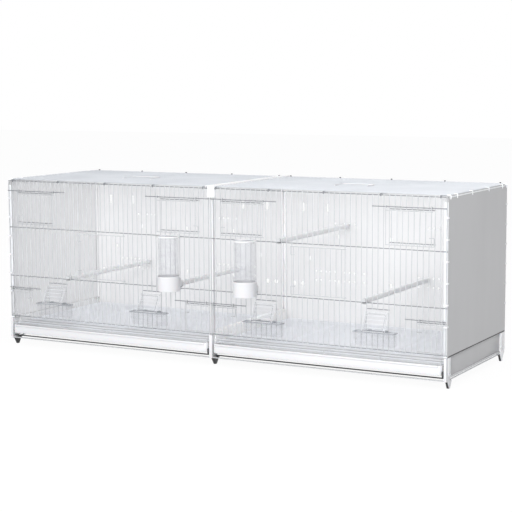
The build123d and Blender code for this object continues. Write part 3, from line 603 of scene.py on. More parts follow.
    def object(self, name: str, finish: Finish, bevel: float = 0.0, segments: int = 2) -> bpy.types.Object:
        """Turns the faces into an object.

        Args:
            name: The object's name.
            finish: Its finish.
            bevel: Width of the rounded edges, where there are any.
            segments: Steps of a rounded edge.

        Returns:
            The object, linked to the scene.
        """
        bmesh.ops.remove_doubles(self.mesh, verts=self.mesh.verts, dist=MERGE)
        bmesh.ops.recalc_face_normals(self.mesh, faces=self.mesh.faces)
        if bevel:
            sharp = [edge for edge in self.mesh.edges
                     if len(edge.link_faces) == 2 and edge.calc_face_angle() > CREASE]
            bmesh.ops.bevel(self.mesh, geom=sharp, offset=bevel, segments=segments, profile=0.5,
                            affect="EDGES", clamp_overlap=True)
            bmesh.ops.recalc_face_normals(self.mesh, faces=self.mesh.faces)
        for face in self.mesh.faces:
            face.smooth = True
        for edge in self.mesh.edges:
            edge.smooth = len(edge.link_faces) == 2 and edge.calc_face_angle() <= CREASE
        bmesh.ops.scale(self.mesh, vec=(MM, MM, MM), verts=self.mesh.verts)
        data = bpy.data.meshes.new(name)
        self.mesh.to_mesh(data)
        self.mesh.free()
        made = bpy.data.objects.new(name, data)
        bpy.context.scene.collection.objects.link(made)
        data.materials.append(finish.material())
        return made

    def seat(self, name: str, finish: Finish, body: str, slot_name: str, *nodes: str, bevel: float = 0.0,
             segments: int = 2) -> None:
        """Makes the piece, puts it on its body and hides the nodes that it stands for.

        Args:
            name: The piece's name.
            finish: Its finish.
            body: The body that it moves with.
            slot_name: The record's slot for its finish; not used.
            nodes: The nodes that it replaces.
            bevel: Width of the rounded edges, where there are any.
            segments: Steps of a rounded edge.
        """
        made = self.object(name, finish, bevel, segments)
        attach(made, body)
        if nodes:
            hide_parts(*nodes)
        LOG.info("%s on %s, %d faces", made.name, body, len(made.data.polygons))


def at(x: float, depth: float, z: float) -> Vector:
    """A point given by its depth behind the end panels' front face."""
    return Vector((x, SIZES.front + depth, z))


def circle_round(centre: Vector, side: Vector, across: Vector, radius: float, count: int) -> list[Vector]:
    """A circle's points in the plane of two unit vectors.

    Args:
        centre: Its middle.
        side: The way to its first point.
        across: The way to the point a quarter turn on.
        radius: Its radius.
        count: How many points it has.

    Returns:
        The points.
    """
    turns = (2 * math.pi * step / count for step in range(count))
    return [centre + (side * math.cos(turn) + across * math.sin(turn)) * radius for turn in turns]


def rounded_route(route: list[Vector], bend: float, steps: int = 5) -> list[Vector]:
    """Rounds the corners of a route.

    Args:
        route: The corners.
        bend: The radius of each bend.
        steps: Points in a bend.

    Returns:
        The points of the rounded route.
    """
    if bend <= 0 or len(route) < 3:
        return list(route)
    line = [route[0]]
    for before, corner, after in zip(route, route[1:], route[2:]):
        back, ahead = (before - corner), (after - corner)
        angle = back.angle(ahead)
        if angle > STRAIGHT:
            line.append(corner)
            continue
        cut = min(bend / math.tan(angle / 2), back.length * BEND_SHARE, ahead.length * BEND_SHARE)
        size = cut * math.tan(angle / 2)
        back, ahead = back.normalized(), ahead.normalized()
        centre = corner + (back + ahead).normalized() * (size / math.sin(angle / 2))
        start, end = corner + back * cut - centre, corner + ahead * cut - centre
        sweep = start.angle(end)
        for step in range(steps + 1):
            share = step / steps
            point = (start * math.sin((1 - share) * sweep) + end * math.sin(share * sweep)) / math.sin(sweep)
            line.append(centre + point)
    line.append(route[-1])
    return line


def rounded_box(low: Pair, high: Pair, radii: Sequence[float], steps: int = 6) -> Outline:
    """The outline of a rectangle with rounded corners, counted round from the low corner.

    Args:
        low: The low corner.
        high: The high corner.
        radii: The radius of each of the four corners.
        steps: Steps in each corner.

    Returns:
        The outline's points, the same number for any sizes.
    """
    corners = [(low[0], low[1], 180), (high[0], low[1], 270), (high[0], high[1], 0), (low[0], high[1], 90)]
    points = []
    for (x, y, start), radius in zip(corners, radii):
        radius = max(radius, LEAST_RADIUS)
        middle = x + (radius if x == low[0] else -radius), y + (radius if y == low[1] else -radius)
        points += arc(middle, radius, start, start + 90, steps)
    return points


def arc(centre: Pair, radius: float, start: float, end: float, steps: int) -> Outline:
    """Points on a circle from one angle to another, in degrees."""
    turns = (math.radians(start + (end - start) * step / steps) for step in range(steps + 1))
    return [(centre[0] + radius * math.cos(turn), centre[1] + radius * math.sin(turn)) for turn in turns]


def circle(x: float, y: float, radius: float, steps: int) -> Outline:
    """A circle's points, counted backwards so that it reads as a hole."""
    return arc((x, y), radius, 0, -360, steps)[:-1]


def slot(x: float, y: float, width: float, height: float) -> Outline:
    """An upright slot with rounded corners, counted backwards so that it reads as a hole."""
    half, rise = width / 2, height / 2
    ring = rounded_box((x - half, y - rise), (x + half, y + rise), [width * SLOT_CORNER] * 4)
    return list(reversed(ring))


def facing(name: str, finish: Finish, first: Point, second: Point, slot_name: str = "panel_paint") -> None:
    """A thin block on the cage that gives one face its own finish: painted light or shade laid over that face.

    Args:
        name: The piece's name.
        finish: Its finish.
        first: One corner, by its depth behind the front face.
        second: The corner opposite.
        slot_name: The record's slot for its finish.
    """
    builder = Builder()
    builder.box(first, second)
    builder.seat(name, finish, "cage", slot_name)


# Bays and their openings


@dataclass(frozen=True)
class Opening:
    """A gap in a bay's uprights, from one wire to another and between two heights."""

    first: int
    last: int
    low: float
    high: float

    def mirrored(self) -> "Opening":
        """The same gap counted from the other side of the bay."""
        return Opening(SIZES.gaps - self.last, SIZES.gaps - self.first, self.low, self.high)


@dataclass(frozen=True)
class Bay:
    """One of the two bays, its left one numbered 0."""

    number: int
    top_guide_drop: float = 26.0
    lower_guide_drop: float = 30.0
    guide_to_header: float = 5.0
    top_sill_rise: float = 14.0
    feeder_drop: float = 13.0
    feeder_mouth: float = 50.0
    spout: float = 23.0
    top_door_wires: tuple[int, int] = (2, 10)
    lower_door_wires: tuple[int, int] = (0, 5)
    centre_door_wires: tuple[int, int] = (16, 26)
    feeder_wires: tuple[tuple[int, int], ...] = ((9, 13), (30, 34))
    drinker_wires: tuple[int, int] = (37, 8)

    @property
    def side(self) -> str:
        """The word for the bay in the pieces' names."""
        return ("left", "right")[self.number]

    @property
    def sign(self) -> int:
        """Which way along the cage its end panel lies."""
        return (-1, 1)[self.number]

    @property
    def middle(self) -> float:
        """The middle of the bay along the cage."""
        return self.sign * SIZES.bay / 2

    def x(self, count: float) -> float:
        """Place along the cage of an upright wire, or of a gap when count ends in a half."""
        return (self.number - 1) * SIZES.bay + SIZES.end_inset + count * SIZES.pitch

    def rows(self) -> list[float]:
        """Places along the cage of the wires that run from front to back over the bay."""
        return [self.middle + step * SIZES.cross_spacing for step in range(-2, 3)]

    @property
    def top_door(self) -> Opening:
        """The opening of the left top door."""
        high = SIZES.top - self.top_guide_drop - self.guide_to_header
        return Opening(*self.top_door_wires, SIZES.upper + self.top_sill_rise, high)

    @property
    def lower_door(self) -> Opening:
        """The opening of the left lower door."""
        high = SIZES.lower - self.lower_guide_drop - self.guide_to_header
        return Opening(*self.lower_door_wires, SIZES.sill, high)

    @property
    def centre_door(self) -> Opening:
        """The opening of the centre door."""
        return Opening(*self.centre_door_wires, SIZES.lower, SIZES.upper)

    @property
    def feeders(self) -> list[Opening]:
        """The two feeder mouths."""
        high = SIZES.lower - self.feeder_drop
        return [Opening(*wires, high - self.feeder_mouth, high) for wires in self.feeder_wires]

    @property
    def drinker(self) -> Opening:
        """The hole that the drinker's spout reaches through."""
        wire = self.drinker_wires[self.number]
        return Opening(wire - 1, wire + 1, SIZES.lower, SIZES.lower + self.spout)

    def openings(self) -> list[Opening]:
        """Every opening of the bay's front."""
        pairs = [self.top_door, self.top_door.mirrored(), self.lower_door, self.lower_door.mirrored()]
        return pairs + [self.centre_door, *self.feeders, self.drinker]


# Wire work


@dataclass(frozen=True)
class FrontGrille:
    """The welded front of one bay: uprights before cross wires, and the wires that doors hang on."""

    bay: Bay
    top_guide_last: int = 13
    lower_guide_last: int = 7

    def stretches(self, count: int) -> list[Pair]:
        """The heights between which one upright runs.

        Args:
            count: The upright, counted from the left.

        Returns:
            The low and high end of each stretch.
        """
        half = SIZES.wire / 2
        spans = [(SIZES.grille, SIZES.top)]
        for gap in self.bay.openings():
            if not gap.first < count < gap.last:
                continue
            cut = []
            for low, high in spans:
                if gap.high < low or gap.low > high:
                    cut.append((low, high))
                else:
                    cut += [(low, gap.low + half), (gap.high - half, high)]
            spans = [(low, high) for low, high in cut if high - low > SIZES.wire * 1.5]
        return spans

    def row(self, first: int, last: int, z: float) -> Point:
        """Left end, right end and height of a wire between two uprights."""
        half = SIZES.wire / 2
        return self.bay.x(first) - half, self.bay.x(last) + half, z

    def cross_rows(self) -> list[Point]:
        """Finds wires along the front.

        Returns:
            Left end, right end and height of each cross wire.
        """
        edge = (self.bay.number - 1) * SIZES.bay
        full = (SIZES.sill, SIZES.lower, SIZES.upper, SIZES.top - SIZES.wire / 2)
        rows = [(edge + SIZES.seam, edge + SIZES.bay - SIZES.seam, z) for z in full]
        return rows + [self.row(gap.first, gap.last, z) for gap in self.bay.openings()
                       for z in (gap.low, gap.high) if z not in full]

    def guides(self) -> list[Point]:
        """Finds wires along the front.

        Returns:
            Left end, right end and height of each wire that a door hangs on.
        """
        heights = ((SIZES.top - self.bay.top_guide_drop, self.top_guide_last),
                   (SIZES.lower - self.bay.lower_guide_drop, self.lower_guide_last))
        return [self.row(first, end, z) for z, last in heights
                for first, end in ((0, last), (SIZES.gaps - last, SIZES.gaps))]

    def build(self) -> None:
        """Makes the grille."""
        builder = Builder()
        crosses, guides = self.cross_rows(), self.guides()
        for count in range(SIZES.gaps + 1):
            x = self.bay.x(count)
            for low, high in self.stretches(count):
                builder.wire((x, SIZES.upright_y, low), (x, SIZES.upright_y, high))
                for rows, y in ((crosses, -SIZES.wire), (guides, SIZES.face_y)):
                    for left, right, z in rows:
                        if left <= x <= right and low <= z <= high:
                            builder.weld((x, y, z))
        across = Builder()
        for rows, y in ((crosses, SIZES.cross_y), (guides, SIZES.hinge_y)):
            for left, right, z in rows:
                across.wire((left, y, z), (right, y, z))
        side = self.bay.side
        builder.seat(f"front_wires_{side}", Finish.WIRE, "cage", "wire_paint", f"front_grille_{side}")
        # The cross wires take the much darker wire coat: painted shade behind the uprights.
        across.seat(f"front_cross_wires_{side}", Finish.CROSS, "cage", "wire_paint")


@dataclass(frozen=True)
class TopGrille:
    """The wire top of one bay, some of its long wires hooked over the end panel."""

    bay: Bay
    hooked_rows: tuple[int, ...] = (0, 3, 10, 18, 25, 27)
    hook_drop: float = 9.0
    hook_start: float = 8.0
    flange: float = 9.0
    channel_half: float = 12.3

    def rows(self) -> list[float]:
        """Finds the long wires' places.

        Returns:
            The depth of each.
        """
        count = int((SIZES.depth - 2 * self.flange) // SIZES.pitch) + 1
        first = (SIZES.depth - (count - 1) * SIZES.pitch) / 2
        return [first + row * SIZES.pitch for row in range(count)]

    def build(self) -> None:
        """Makes the top."""
        builder = Builder()
        sign = self.bay.sign
        low = SIZES.top + SIZES.wire / 2
        high = SIZES.panel_top + SIZES.wire / 2
        for x in self.bay.rows():
            builder.wire((x, SIZES.face_y, low), (x, SIZES.depth, low))
        hooks = Builder()
        for row, y in enumerate(self.rows()):
            near = (sign * self.channel_half, y, high)
            out = sign * (SIZES.bay + SIZES.wire / 2)
            if row in self.hooked_rows:
                start = (sign * (SIZES.bay - self.hook_start), y, high)
                builder.wire(near, start)
                hooks.wire(start, (out, y, high), (out, y, high - self.hook_drop))
            else:
                builder.wire(near, (sign * (SIZES.bay - SIZES.seam), y, high))
            for x in self.bay.rows():
                builder.weld((x, y, SIZES.panel_top))
        side = self.bay.side
        builder.seat(f"top_wires_{side}", Finish.TOP, "cage", "wire_paint", f"top_grille_{side}")
        # The hooks take the lightest plastic colour: painted light on the wire over the shaded end panel.
        hooks.seat(f"top_hooks_{side}", Finish.BRIGHT, "cage", "wire_paint")


@dataclass(frozen=True)
class GrilleClips:
    """The small clips at the ends of the top's front to back wires: grey in front in the darker wire coat,
    painted shade, and near-black plastic behind.
    """

    width: float = 3.0
    thick: float = 0.8
    reach: float = 3.0
    front_drop: float = 3.5
    rear_drop: float = 8.0
    front_rise: float = 0.8
    rear_rise: float = 3.6

    def build(self) -> None:
        """Makes both rows of clips."""
        rows = (("front", SIZES.face_y, self.reach, self.front_rise, self.front_drop,
                 Finish.CROSS, "wire_paint", ()),
                ("rear", SIZES.depth, SIZES.depth - self.reach, self.rear_rise, self.rear_drop,
                 Finish.DARK, "black_plastic", ("grille_clips",)))
        for word, face, back, rise, drop, finish, slot_name, nodes in rows:
            builder = Builder()
            top, foot = SIZES.panel_top + rise, SIZES.top - drop
            outer = face + math.copysign(self.thick, face - back)
            outline = [(back, SIZES.panel_top), (back, top), (outer, top), (outer, foot), (face, foot),
                       (face, SIZES.panel_top)]
            for number in (0, 1):
                for x in Bay(number).rows():
                    builder.prism(outline, (x - self.width / 2, x + self.width / 2))
            builder.seat(f"{word}_clips", finish, "cage", slot_name, *nodes, bevel=0.2)


@dataclass(frozen=True)
class Handle:
    """A folding wire handle lying on the top."""

    bay: Bay
    width: float = 84.0
    reach: float = 42.0
    row: int = 10
    bend: float = 7.0

    def build(self) -> None:
        """Makes the handle."""
        y = TopGrille(self.bay).rows()[self.row]
        axis = SIZES.panel_top + SIZES.wire / 2
        z = axis + SIZES.eye_ring
        half = self.width / 2
        middle = self.bay.middle
        builder = Builder()
        left, right, far = middle - half, middle + half, y + self.reach
        builder.wire((left, y, z), (left, far, z), (right, far, z), (right, y, z), bend=self.bend)
        for sign in (-1, 1):
            builder.eye((middle + sign * half, y, axis), (1, 0, 0))
        name = f"handle_{self.bay.side}"
        builder.seat(name + "_bail", Finish.CUP, name, "wire_paint", name)


def hooked_bar(builder: Builder, plain: float, hook: float, z: float, turn: int) -> None:
    """A door's cross wire whose free end turns up or down and back on itself as the latch.

    Args:
        builder: The door being made.
        plain: Place of its plain end along the cage.
        hook: Place of its bent end.
        z: Its height.
        turn: 1 where the latch stands up, -1 where it hangs.
    """
    latch_height, latch_return = 19.0, 12.0
    inward = math.copysign(1, plain - hook)
    tip = z + turn * latch_height
    y = SIZES.door_cross_y
    builder.wire((plain, y, z), (hook, y, z), (hook, y, tip), (hook + inward * latch_return, y, tip))


@dataclass(frozen=True)
class HungDoor:
    """A wire door that hangs on its guide wire by two eyes."""

    bay: Bay
    name: str
    gaps: range
    guide: float
    foot: float
    latch_left: bool
    latch_low: bool
    far_margin: float
    latch_margin: float = 5.75
    head_drop: float = 8.0

    def build(self) -> None:
        """Makes the door."""
        builder = Builder()
        places = [self.bay.x(gap + 0.5) for gap in self.gaps]
        near, far = (places[0], places[-1]) if self.latch_left else (places[-1], places[0])
        way = math.copysign(1, near - far)
        plain = far - way * self.far_margin
        head = self.guide - self.head_drop
        hooked, straight, turn = (self.foot, head, 1) if self.latch_low else (head, self.foot, -1)
        hooked_bar(builder, plain, near + way * self.latch_margin, hooked, turn)
        y, half = SIZES.door_cross_y, SIZES.wire / 2
        builder.wire((near + way * self.far_margin, y, straight), (plain, y, straight))
        y = SIZES.door_upright_y
        for x in places:
            hung = x in (near, far)
            builder.wire((x, y, self.foot - half), (x, y, self.guide if hung else head + half))
            for z in (self.foot, head):
                builder.weld((x, y + half, z))
            if hung:
                builder.eye((x, SIZES.hinge_y, self.guide), (1, 0, 0))
        builder.seat(self.name + "_wires", Finish.WIRE, self.name, "wire_paint", self.name)


@dataclass(frozen=True)
class SideDoor:
    """The tall centre door, hinged on an upright at its right, with a latch at each free corner."""

    bay: Bay
    margin: float = 7.0
    overlap: float = 2.0

    def build(self) -> None:
        """Makes the door."""
        gap = self.bay.centre_door
        name = f"centre_door_{self.bay.side}"
        hinge = self.bay.x(gap.last)
        free = self.bay.x(gap.first) - self.overlap
        low, high = gap.low + self.margin, gap.high - self.margin
        builder = Builder()
        half = SIZES.wire / 2
        for z, turn in ((low, 1), (high, -1)):
            hooked_bar(builder, hinge, free, z, turn)
            builder.eye((hinge, SIZES.upright_y, z), (0, 0, 1))
        for count in range(gap.first, gap.last):
            x = self.bay.x(count + 0.5)
            builder.wire((x, SIZES.door_upright_y, low - half), (x, SIZES.door_upright_y, high + half))
            for z in (low, high):
                builder.weld((x, SIZES.door_upright_y + half, z))
        builder.seat(name + "_wires", Finish.WIRE, name, "wire_paint", name)


@dataclass(frozen=True)
class Doors:
    """The five doors of one bay."""

    bay: Bay
    top_foot: float = 9.5
    lower_foot: float = 5.0
    top_margin: float = 2.5
    lower_margin: float = 5.0

    def build(self) -> None:
        """Makes the doors."""
        bay = self.bay
        words = ("outer", "inner") if bay.number == 0 else ("inner", "outer")
        rows = ((True, bay.top_door, SIZES.top - bay.top_guide_drop, SIZES.upper + self.top_foot,
                 self.top_margin),
                (False, bay.lower_door, SIZES.lower - bay.lower_guide_drop, SIZES.sill + self.lower_foot,
                 self.lower_margin))
        for is_top, gap, guide, foot, margin in rows:
            for place, (word, mouth) in enumerate(zip(words, (gap, gap.mirrored()))):
                gaps = range(mouth.first - is_top * place, mouth.last + is_top * (1 - place))
                name = f"{'top' if is_top else 'lower'}_door_{bay.side}_{word}"
                HungDoor(bay, name, gaps, guide, foot, is_top == (place == 0), is_top, margin).build()
        SideDoor(bay).build()


@dataclass(frozen=True)
class FloorGrid:
    """The wire floor over a tray, with a raised lip and darker rows at its front, their darker coat painted
    shade.
    """

    bay: Bay
    edge: float = 2.0
    shaded_rows: tuple[int, ...] = (0, 2, 4)

    def build(self) -> None:
        """Makes the grid."""
        name = f"floor_grid_{self.bay.side}"
        low, high = node_box(name)
        half, wire = SIZES.wire / 2, SIZES.wire
        front, back = low.y - SIZES.front + half, high.y - SIZES.front - half
        left, right = low.x - self.edge, high.x + self.edge
        lip = high.z - half
        builder = Builder()
        places = [left + 2 * wire, right - 2 * wire] + self.bay.rows()[1:4]
        edge = Builder()
        for x in places:
            builder.wire((x, back + half, low.z + half), (x, front, low.z + half))
            edge.wire((x, front, low.z + half), (x, front, lip))
        count = int((back - front) // SIZES.pitch)
        nearest = Builder()
        for row in range(count + 1):
            y = front + row * (back - front) / count
            # The front rows take the darker wire coat: painted shade.
            row_builder = nearest if row in self.shaded_rows else builder
            row_builder.wire((left + wire, y, low.z + wire * 1.5), (right - wire, y, low.z + wire * 1.5))
            for x in places:
                builder.weld((x, y, low.z + wire))
        builder.seat(name + "_wires", Finish.GRID, name, "wire_paint", name)
        edge.wire((left + wire, front, lip), (right - wire, front, lip))
        edge.seat(name + "_lip", Finish.WIRE, name, "wire_paint")
        nearest.seat(name + "_front_wires", Finish.WIRE, name, "wire_paint")


@dataclass(frozen=True)
class BaseWires:
    """The long wires between the legs and the two wires at each end."""

    leg_width: float = 6.0
    leg_length: float = 27.0
    centre_leg: float = 8.0
    end_step: float = 4.733

    def build(self) -> None:
        """Makes the wires."""
        builder = Builder()
        low, high = node_box("base_wires")
        half = SIZES.base_wire / 2
        z = low.z + half
        end, middle = SIZES.bay - self.leg_width, self.centre_leg / 2
        for y in (low.y - SIZES.front + half, high.y - SIZES.front - half):
            for sign in (-1, 1):
                builder.wire((sign * middle, y, z), (sign * end, y, z), thick=SIZES.base_wire)
        front = node_box("leg_front_left")[0].y - SIZES.front + self.leg_length
        back = SIZES.depth - SIZES.sheet - self.leg_length
        for sign in (-1, 1):
            x = sign * (SIZES.bay - self.leg_width / 2)
            for lift in (0.0, self.end_step):
                builder.wire((x, front, z + lift), (x, back, z + lift), thick=SIZES.base_wire)
        builder.seat("base_rods", Finish.WIRE, "cage", "wire_paint", "base_wires")


# Sheet work


@dataclass(frozen=True)
class BackPanel:
    """One bay's punched back, its top edge folded forward."""

    bay: Bay
    pin_hole: float = 5.0
    pin_rise: float = 6.0
    row_step: float = 23.0
    upper_row: tuple[int, ...] = (10, 12, 13, 14)
    main_row: tuple[int, ...] = (6, 7, 8, 9, 10, 12, 13, 14, 16)
    low_row: tuple[int, ...] = (6, 7, 9, 10, 12, 13, 14, 16)
    tall_slot: Pair = (7.0, 22.0)
    tall_offsets: Pair = (175.0, 247.0)
    tall_drop: float = 75.0
    small_slot: Pair = (5.0, 10.0)
    small_offset: float = 145.0
    edge_offset: float = 228.0
    upper_slot_drop: float = 27.0
    edge_slot_rise: float = 39.0
    low_slot_drop: float = 19.0
    round_hole: float = 11.0
    round_offsets: Pair = (248.0, 273.0)
    round_drop: float = 29.0
    fold: float = 2.5
    flange_inset: float = 10.0
    hem: Pair = (0.6, 6.0)

    def holes(self) -> list[Outline]:
        """Draws the panel's holes.

        Returns:
            The outline of every hole.
        """
        made, middle = [], self.bay.middle
        rows = ((SIZES.upper, self.upper_row), (SIZES.lower, self.main_row),
                (SIZES.lower - self.row_step, self.low_row))
        for z, gaps in rows:
            for gap in sorted(set(gaps) | {SIZES.gaps - 1 - gap for gap in gaps}):
                made.append(circle(self.bay.x(gap + 0.5), z + self.pin_rise, self.pin_hole / 2, 14))
        low_slots = (SIZES.upper - self.upper_slot_drop, SIZES.lower - self.low_slot_drop)
        slots = [(middle, z, *self.small_slot) for z in low_slots]
        for sign in (-1, 1):
            slots += [(middle + sign * x, SIZES.top - self.tall_drop, *self.tall_slot)
                      for x in self.tall_offsets]
            slots += [(middle + sign * self.small_offset, z, *self.small_slot) for z in low_slots]
            slots.append((middle + sign * self.edge_offset, SIZES.lower + self.edge_slot_rise,
                          *self.small_slot))
            made += [circle(middle + sign * x, SIZES.lower - self.round_drop, self.round_hole / 2, 28)
                     for x in self.round_offsets]
        return made + [slot(*values) for values in slots]

    def build(self) -> None:
        """Makes the panel."""
        name = f"back_panel_{self.bay.side}"
        low, high = node_box(name)
        wall = SIZES.depth
        inner = wall - SIZES.sheet
        bend = high.z - self.fold
        outline = [(low.x, low.z), (high.x, low.z), (high.x, bend), (low.x, bend)]
        builder = Builder()
        builder.sheet(outline, self.holes(), SIZES.sheet, wall - SIZES.sheet / 2)
        centre = wall - self.fold, bend
        fold = arc(centre, self.fold, 0, 90, 6) + arc(centre, self.fold - SIZES.sheet, 90, 0, 6)
        builder.prism(fold, (low.x, high.x))
        flange = low.y - SIZES.front
        builder.box((low.x + self.flange_inset, flange, high.z - SIZES.sheet),
                    (high.x - self.flange_inset, centre[0], high.z))
        builder.box((low.x, inner - self.hem[0], low.z), (high.x, inner, low.z + self.hem[1]))
        builder.seat(name + "_sheet", Finish.SHEET, "cage", "panel_paint", name)


@dataclass(frozen=True)
class EndPanel:
    """A folded end panel: rounded top corners, rounded folds and a flange turned in all round."""

    bay: Bay
    corner: float = 14.0
    fold: float = 2.0
    proud: float = 0.12
    sunk: float = 0.1
    # Height of the bright band along the top fold, a painted highlight.
    top_edge: float = 2.2
    # Drop below the fold and height of the near-black strip at the foot, a painted shadow under the fold.
    seam: Pair = (1.0, 2.6)
    shadow_strip_ends: Pair = (6.0, 3.0)
    foot_margin: float = 8.0
    foot_lift: float = 0.05
    film: float = 0.15
    inner_fold: tuple[Pair, ...] = ((0.0, 1.0), (0.8, 0.2))
    least_fold: float = 0.3
    lit_skin_margin: float = 0.5
    lit_skin_corner: float = 1.0
    edge_step: float = 0.6
    edge_rise: float = 1.0

    def outline(self, inset: float, radii: Pair) -> Outline:
        """Draws the panel from the side.

        Args:
            inset: How far the outline is drawn in.
            radii: The radius of its foot's and of its top's corners.

        Returns:
            Depth and height of each point.
        """
        low, high = node_box(f"end_panel_{self.bay.side}")
        near, far = low.y - SIZES.front, high.y - SIZES.front
        return rounded_box((near + inset, low.z + inset), (far - inset, high.z - inset),
                           [radii[0], radii[0], radii[1], radii[1]], 8)

    def sheet(self, name: str, flange: float) -> None:
        """Makes the folded sheet.

        Args:
            name: The panel's name.
            flange: How far its flange is turned in.
        """
        def ring(out: float, inset: float) -> list[Vector]:
            """The outline at one place along the cage."""
            radii = max(self.fold - inset, self.least_fold), self.corner - inset
            return [at(self.bay.sign * out, y, z) for y, z in self.outline(inset, radii)]

        outer, sheet = SIZES.bay, SIZES.sheet
        rings = [ring(outer - sheet - out, sheet + inset) for out, inset in self.inner_fold]
        rings += [ring(outer - flange, sheet), ring(outer - flange, 0.0)]
        for step in range(6):
            turn = math.radians(90 * step / 5)
            rings.append(ring(outer - self.fold * (1 - math.sin(turn)), self.fold * (1 - math.cos(turn))))
        builder = Builder()
        builder.loops(rings)
        # The sheet takes the darker copy of the panel paint: painted shade on its outer faces.
        builder.seat(name + "_sheet", Finish.END, "cage", "panel_paint", name)

    def build(self) -> None:
        """Makes the panel, a lighter skin over its inner face that is painted light, and faces that carry
        painted light, highlight and shadow.
        """
        name = f"end_panel_{self.bay.side}"
        low, high = node_box(name)
        near, far = low.y - SIZES.front, high.y - SIZES.front
        sign, flange = self.bay.sign, high.x - low.x
        outer, inner, edge = SIZES.bay, SIZES.bay - SIZES.sheet, SIZES.bay - flange
        self.sheet(name, flange)
        # A lighter copy of the paint covers the inner face: painted light where the panel lies in shade.
        inset = SIZES.sheet + self.lit_skin_margin
        lit_skin = Builder()
        lit_skin.prism(self.outline(inset, (self.lit_skin_corner, self.corner - inset)),
                     (sign * (inner + self.sunk), sign * (inner - self.film)))
        lit_skin.seat(name + "_lining", Finish.LINING, "cage", "panel_paint")
        skin = outer - self.sunk, outer + self.proud
        foot, head, brow = low.z + self.fold, high.z - self.fold, high.z - self.corner
        wall = far - SIZES.sheet
        # The front flange's strip takes a lighter plastic colour: painted light on the lit front.
        faces = (("edge", Finish.CUP, (edge, outer - self.edge_step), (near - self.proud, near + self.sunk),
                  (low.z + self.edge_rise, brow)),
                 # A bright band along the top fold: painted highlight.
                 ("top_edge", Finish.BRIGHT, skin, (near + self.corner, far - self.corner),
                  (head - self.top_edge, head)),
                 # A near-black strip at the foot: painted shadow under the fold.
                 ("seam", Finish.DARK, skin, (near + self.shadow_strip_ends[0], far - self.shadow_strip_ends[1]),
                  (foot - self.seam[0], foot + self.seam[1] - self.seam[0])),
                 # Lighter strips over the rear and foot flanges: painted light where the corners lie in shade.
                 ("rear_lining", Finish.LINING, (edge, inner), (wall - self.film, wall + self.sunk),
                  (low.z + SIZES.sheet, brow)),
                 ("foot_lining", Finish.LINING, (edge - self.film, inner),
                  (near + self.foot_margin, far - self.foot_margin),
                  (low.z + self.foot_lift, low.z + SIZES.sheet + self.film)))
        for word, finish, *spans in faces:
            (start, end), depths, heights = spans
            facing(f"{name}_{word}", finish, (sign * start, depths[0], heights[0]),
                   (sign * end, depths[1], heights[1]))


# Moulded pieces


@dataclass(frozen=True)
class Tray:
    """A moulded droppings tray with a rim and a rounded finger lip."""

    bay: Bay
    corner: float = 8.0
    outside: tuple[Pair, ...] = ((1.8, 0.0), (0.6, 0.5), (0.0, 2.0))
    rim: tuple[Pair, ...] = ((0.0, -1.2), (0.4, -0.3), (1.2, 0.0), (5.0, 0.0), (6.0, -0.7), (6.0, -2.0),
                             (2.0, -2.0))
    inside: tuple[Pair, ...] = ((2.0, 3.5), (3.5, 2.0))
    lip: float = 3.5
    lip_height: float = 4.0
    lip_root: float = 0.4
    lip_radii: tuple[float, ...] = (1.3, 0.1, 0.1, 1.3)
    rise: float = 5.4

    def build(self) -> None:
        """Makes the tray."""
        name = f"tray_{self.bay.side}"
        low, high = node_box(name)
        near, far = low.y - SIZES.front + self.lip, high.y - SIZES.front

        def level(inset: float, z: float) -> Level:
            """The tray's outline, drawn in, at one height."""
            return low.x + inset, high.x - inset, near + inset, far - inset, self.corner - inset, z

        floor, edge = low.z + self.rise, high.z
        builder = Builder()
        builder.cup([level(inset, base + z) for base, rows in
                     ((floor, self.outside), (edge, self.rim), (floor, self.inside)) for inset, z in rows])
        builder.seat(name + "_pan", Finish.TRAY, name, "white_plastic", name)
        lip = Builder()
        outline = rounded_box((near - self.lip, edge - self.lip_height), (near + self.lip_root, edge),
                              self.lip_radii, 5)
        lip.prism(outline, (low.x + self.corner, high.x - self.corner))
        lip.seat(name + "_lip", Finish.TRAY, name, "white_plastic", bevel=0.25)


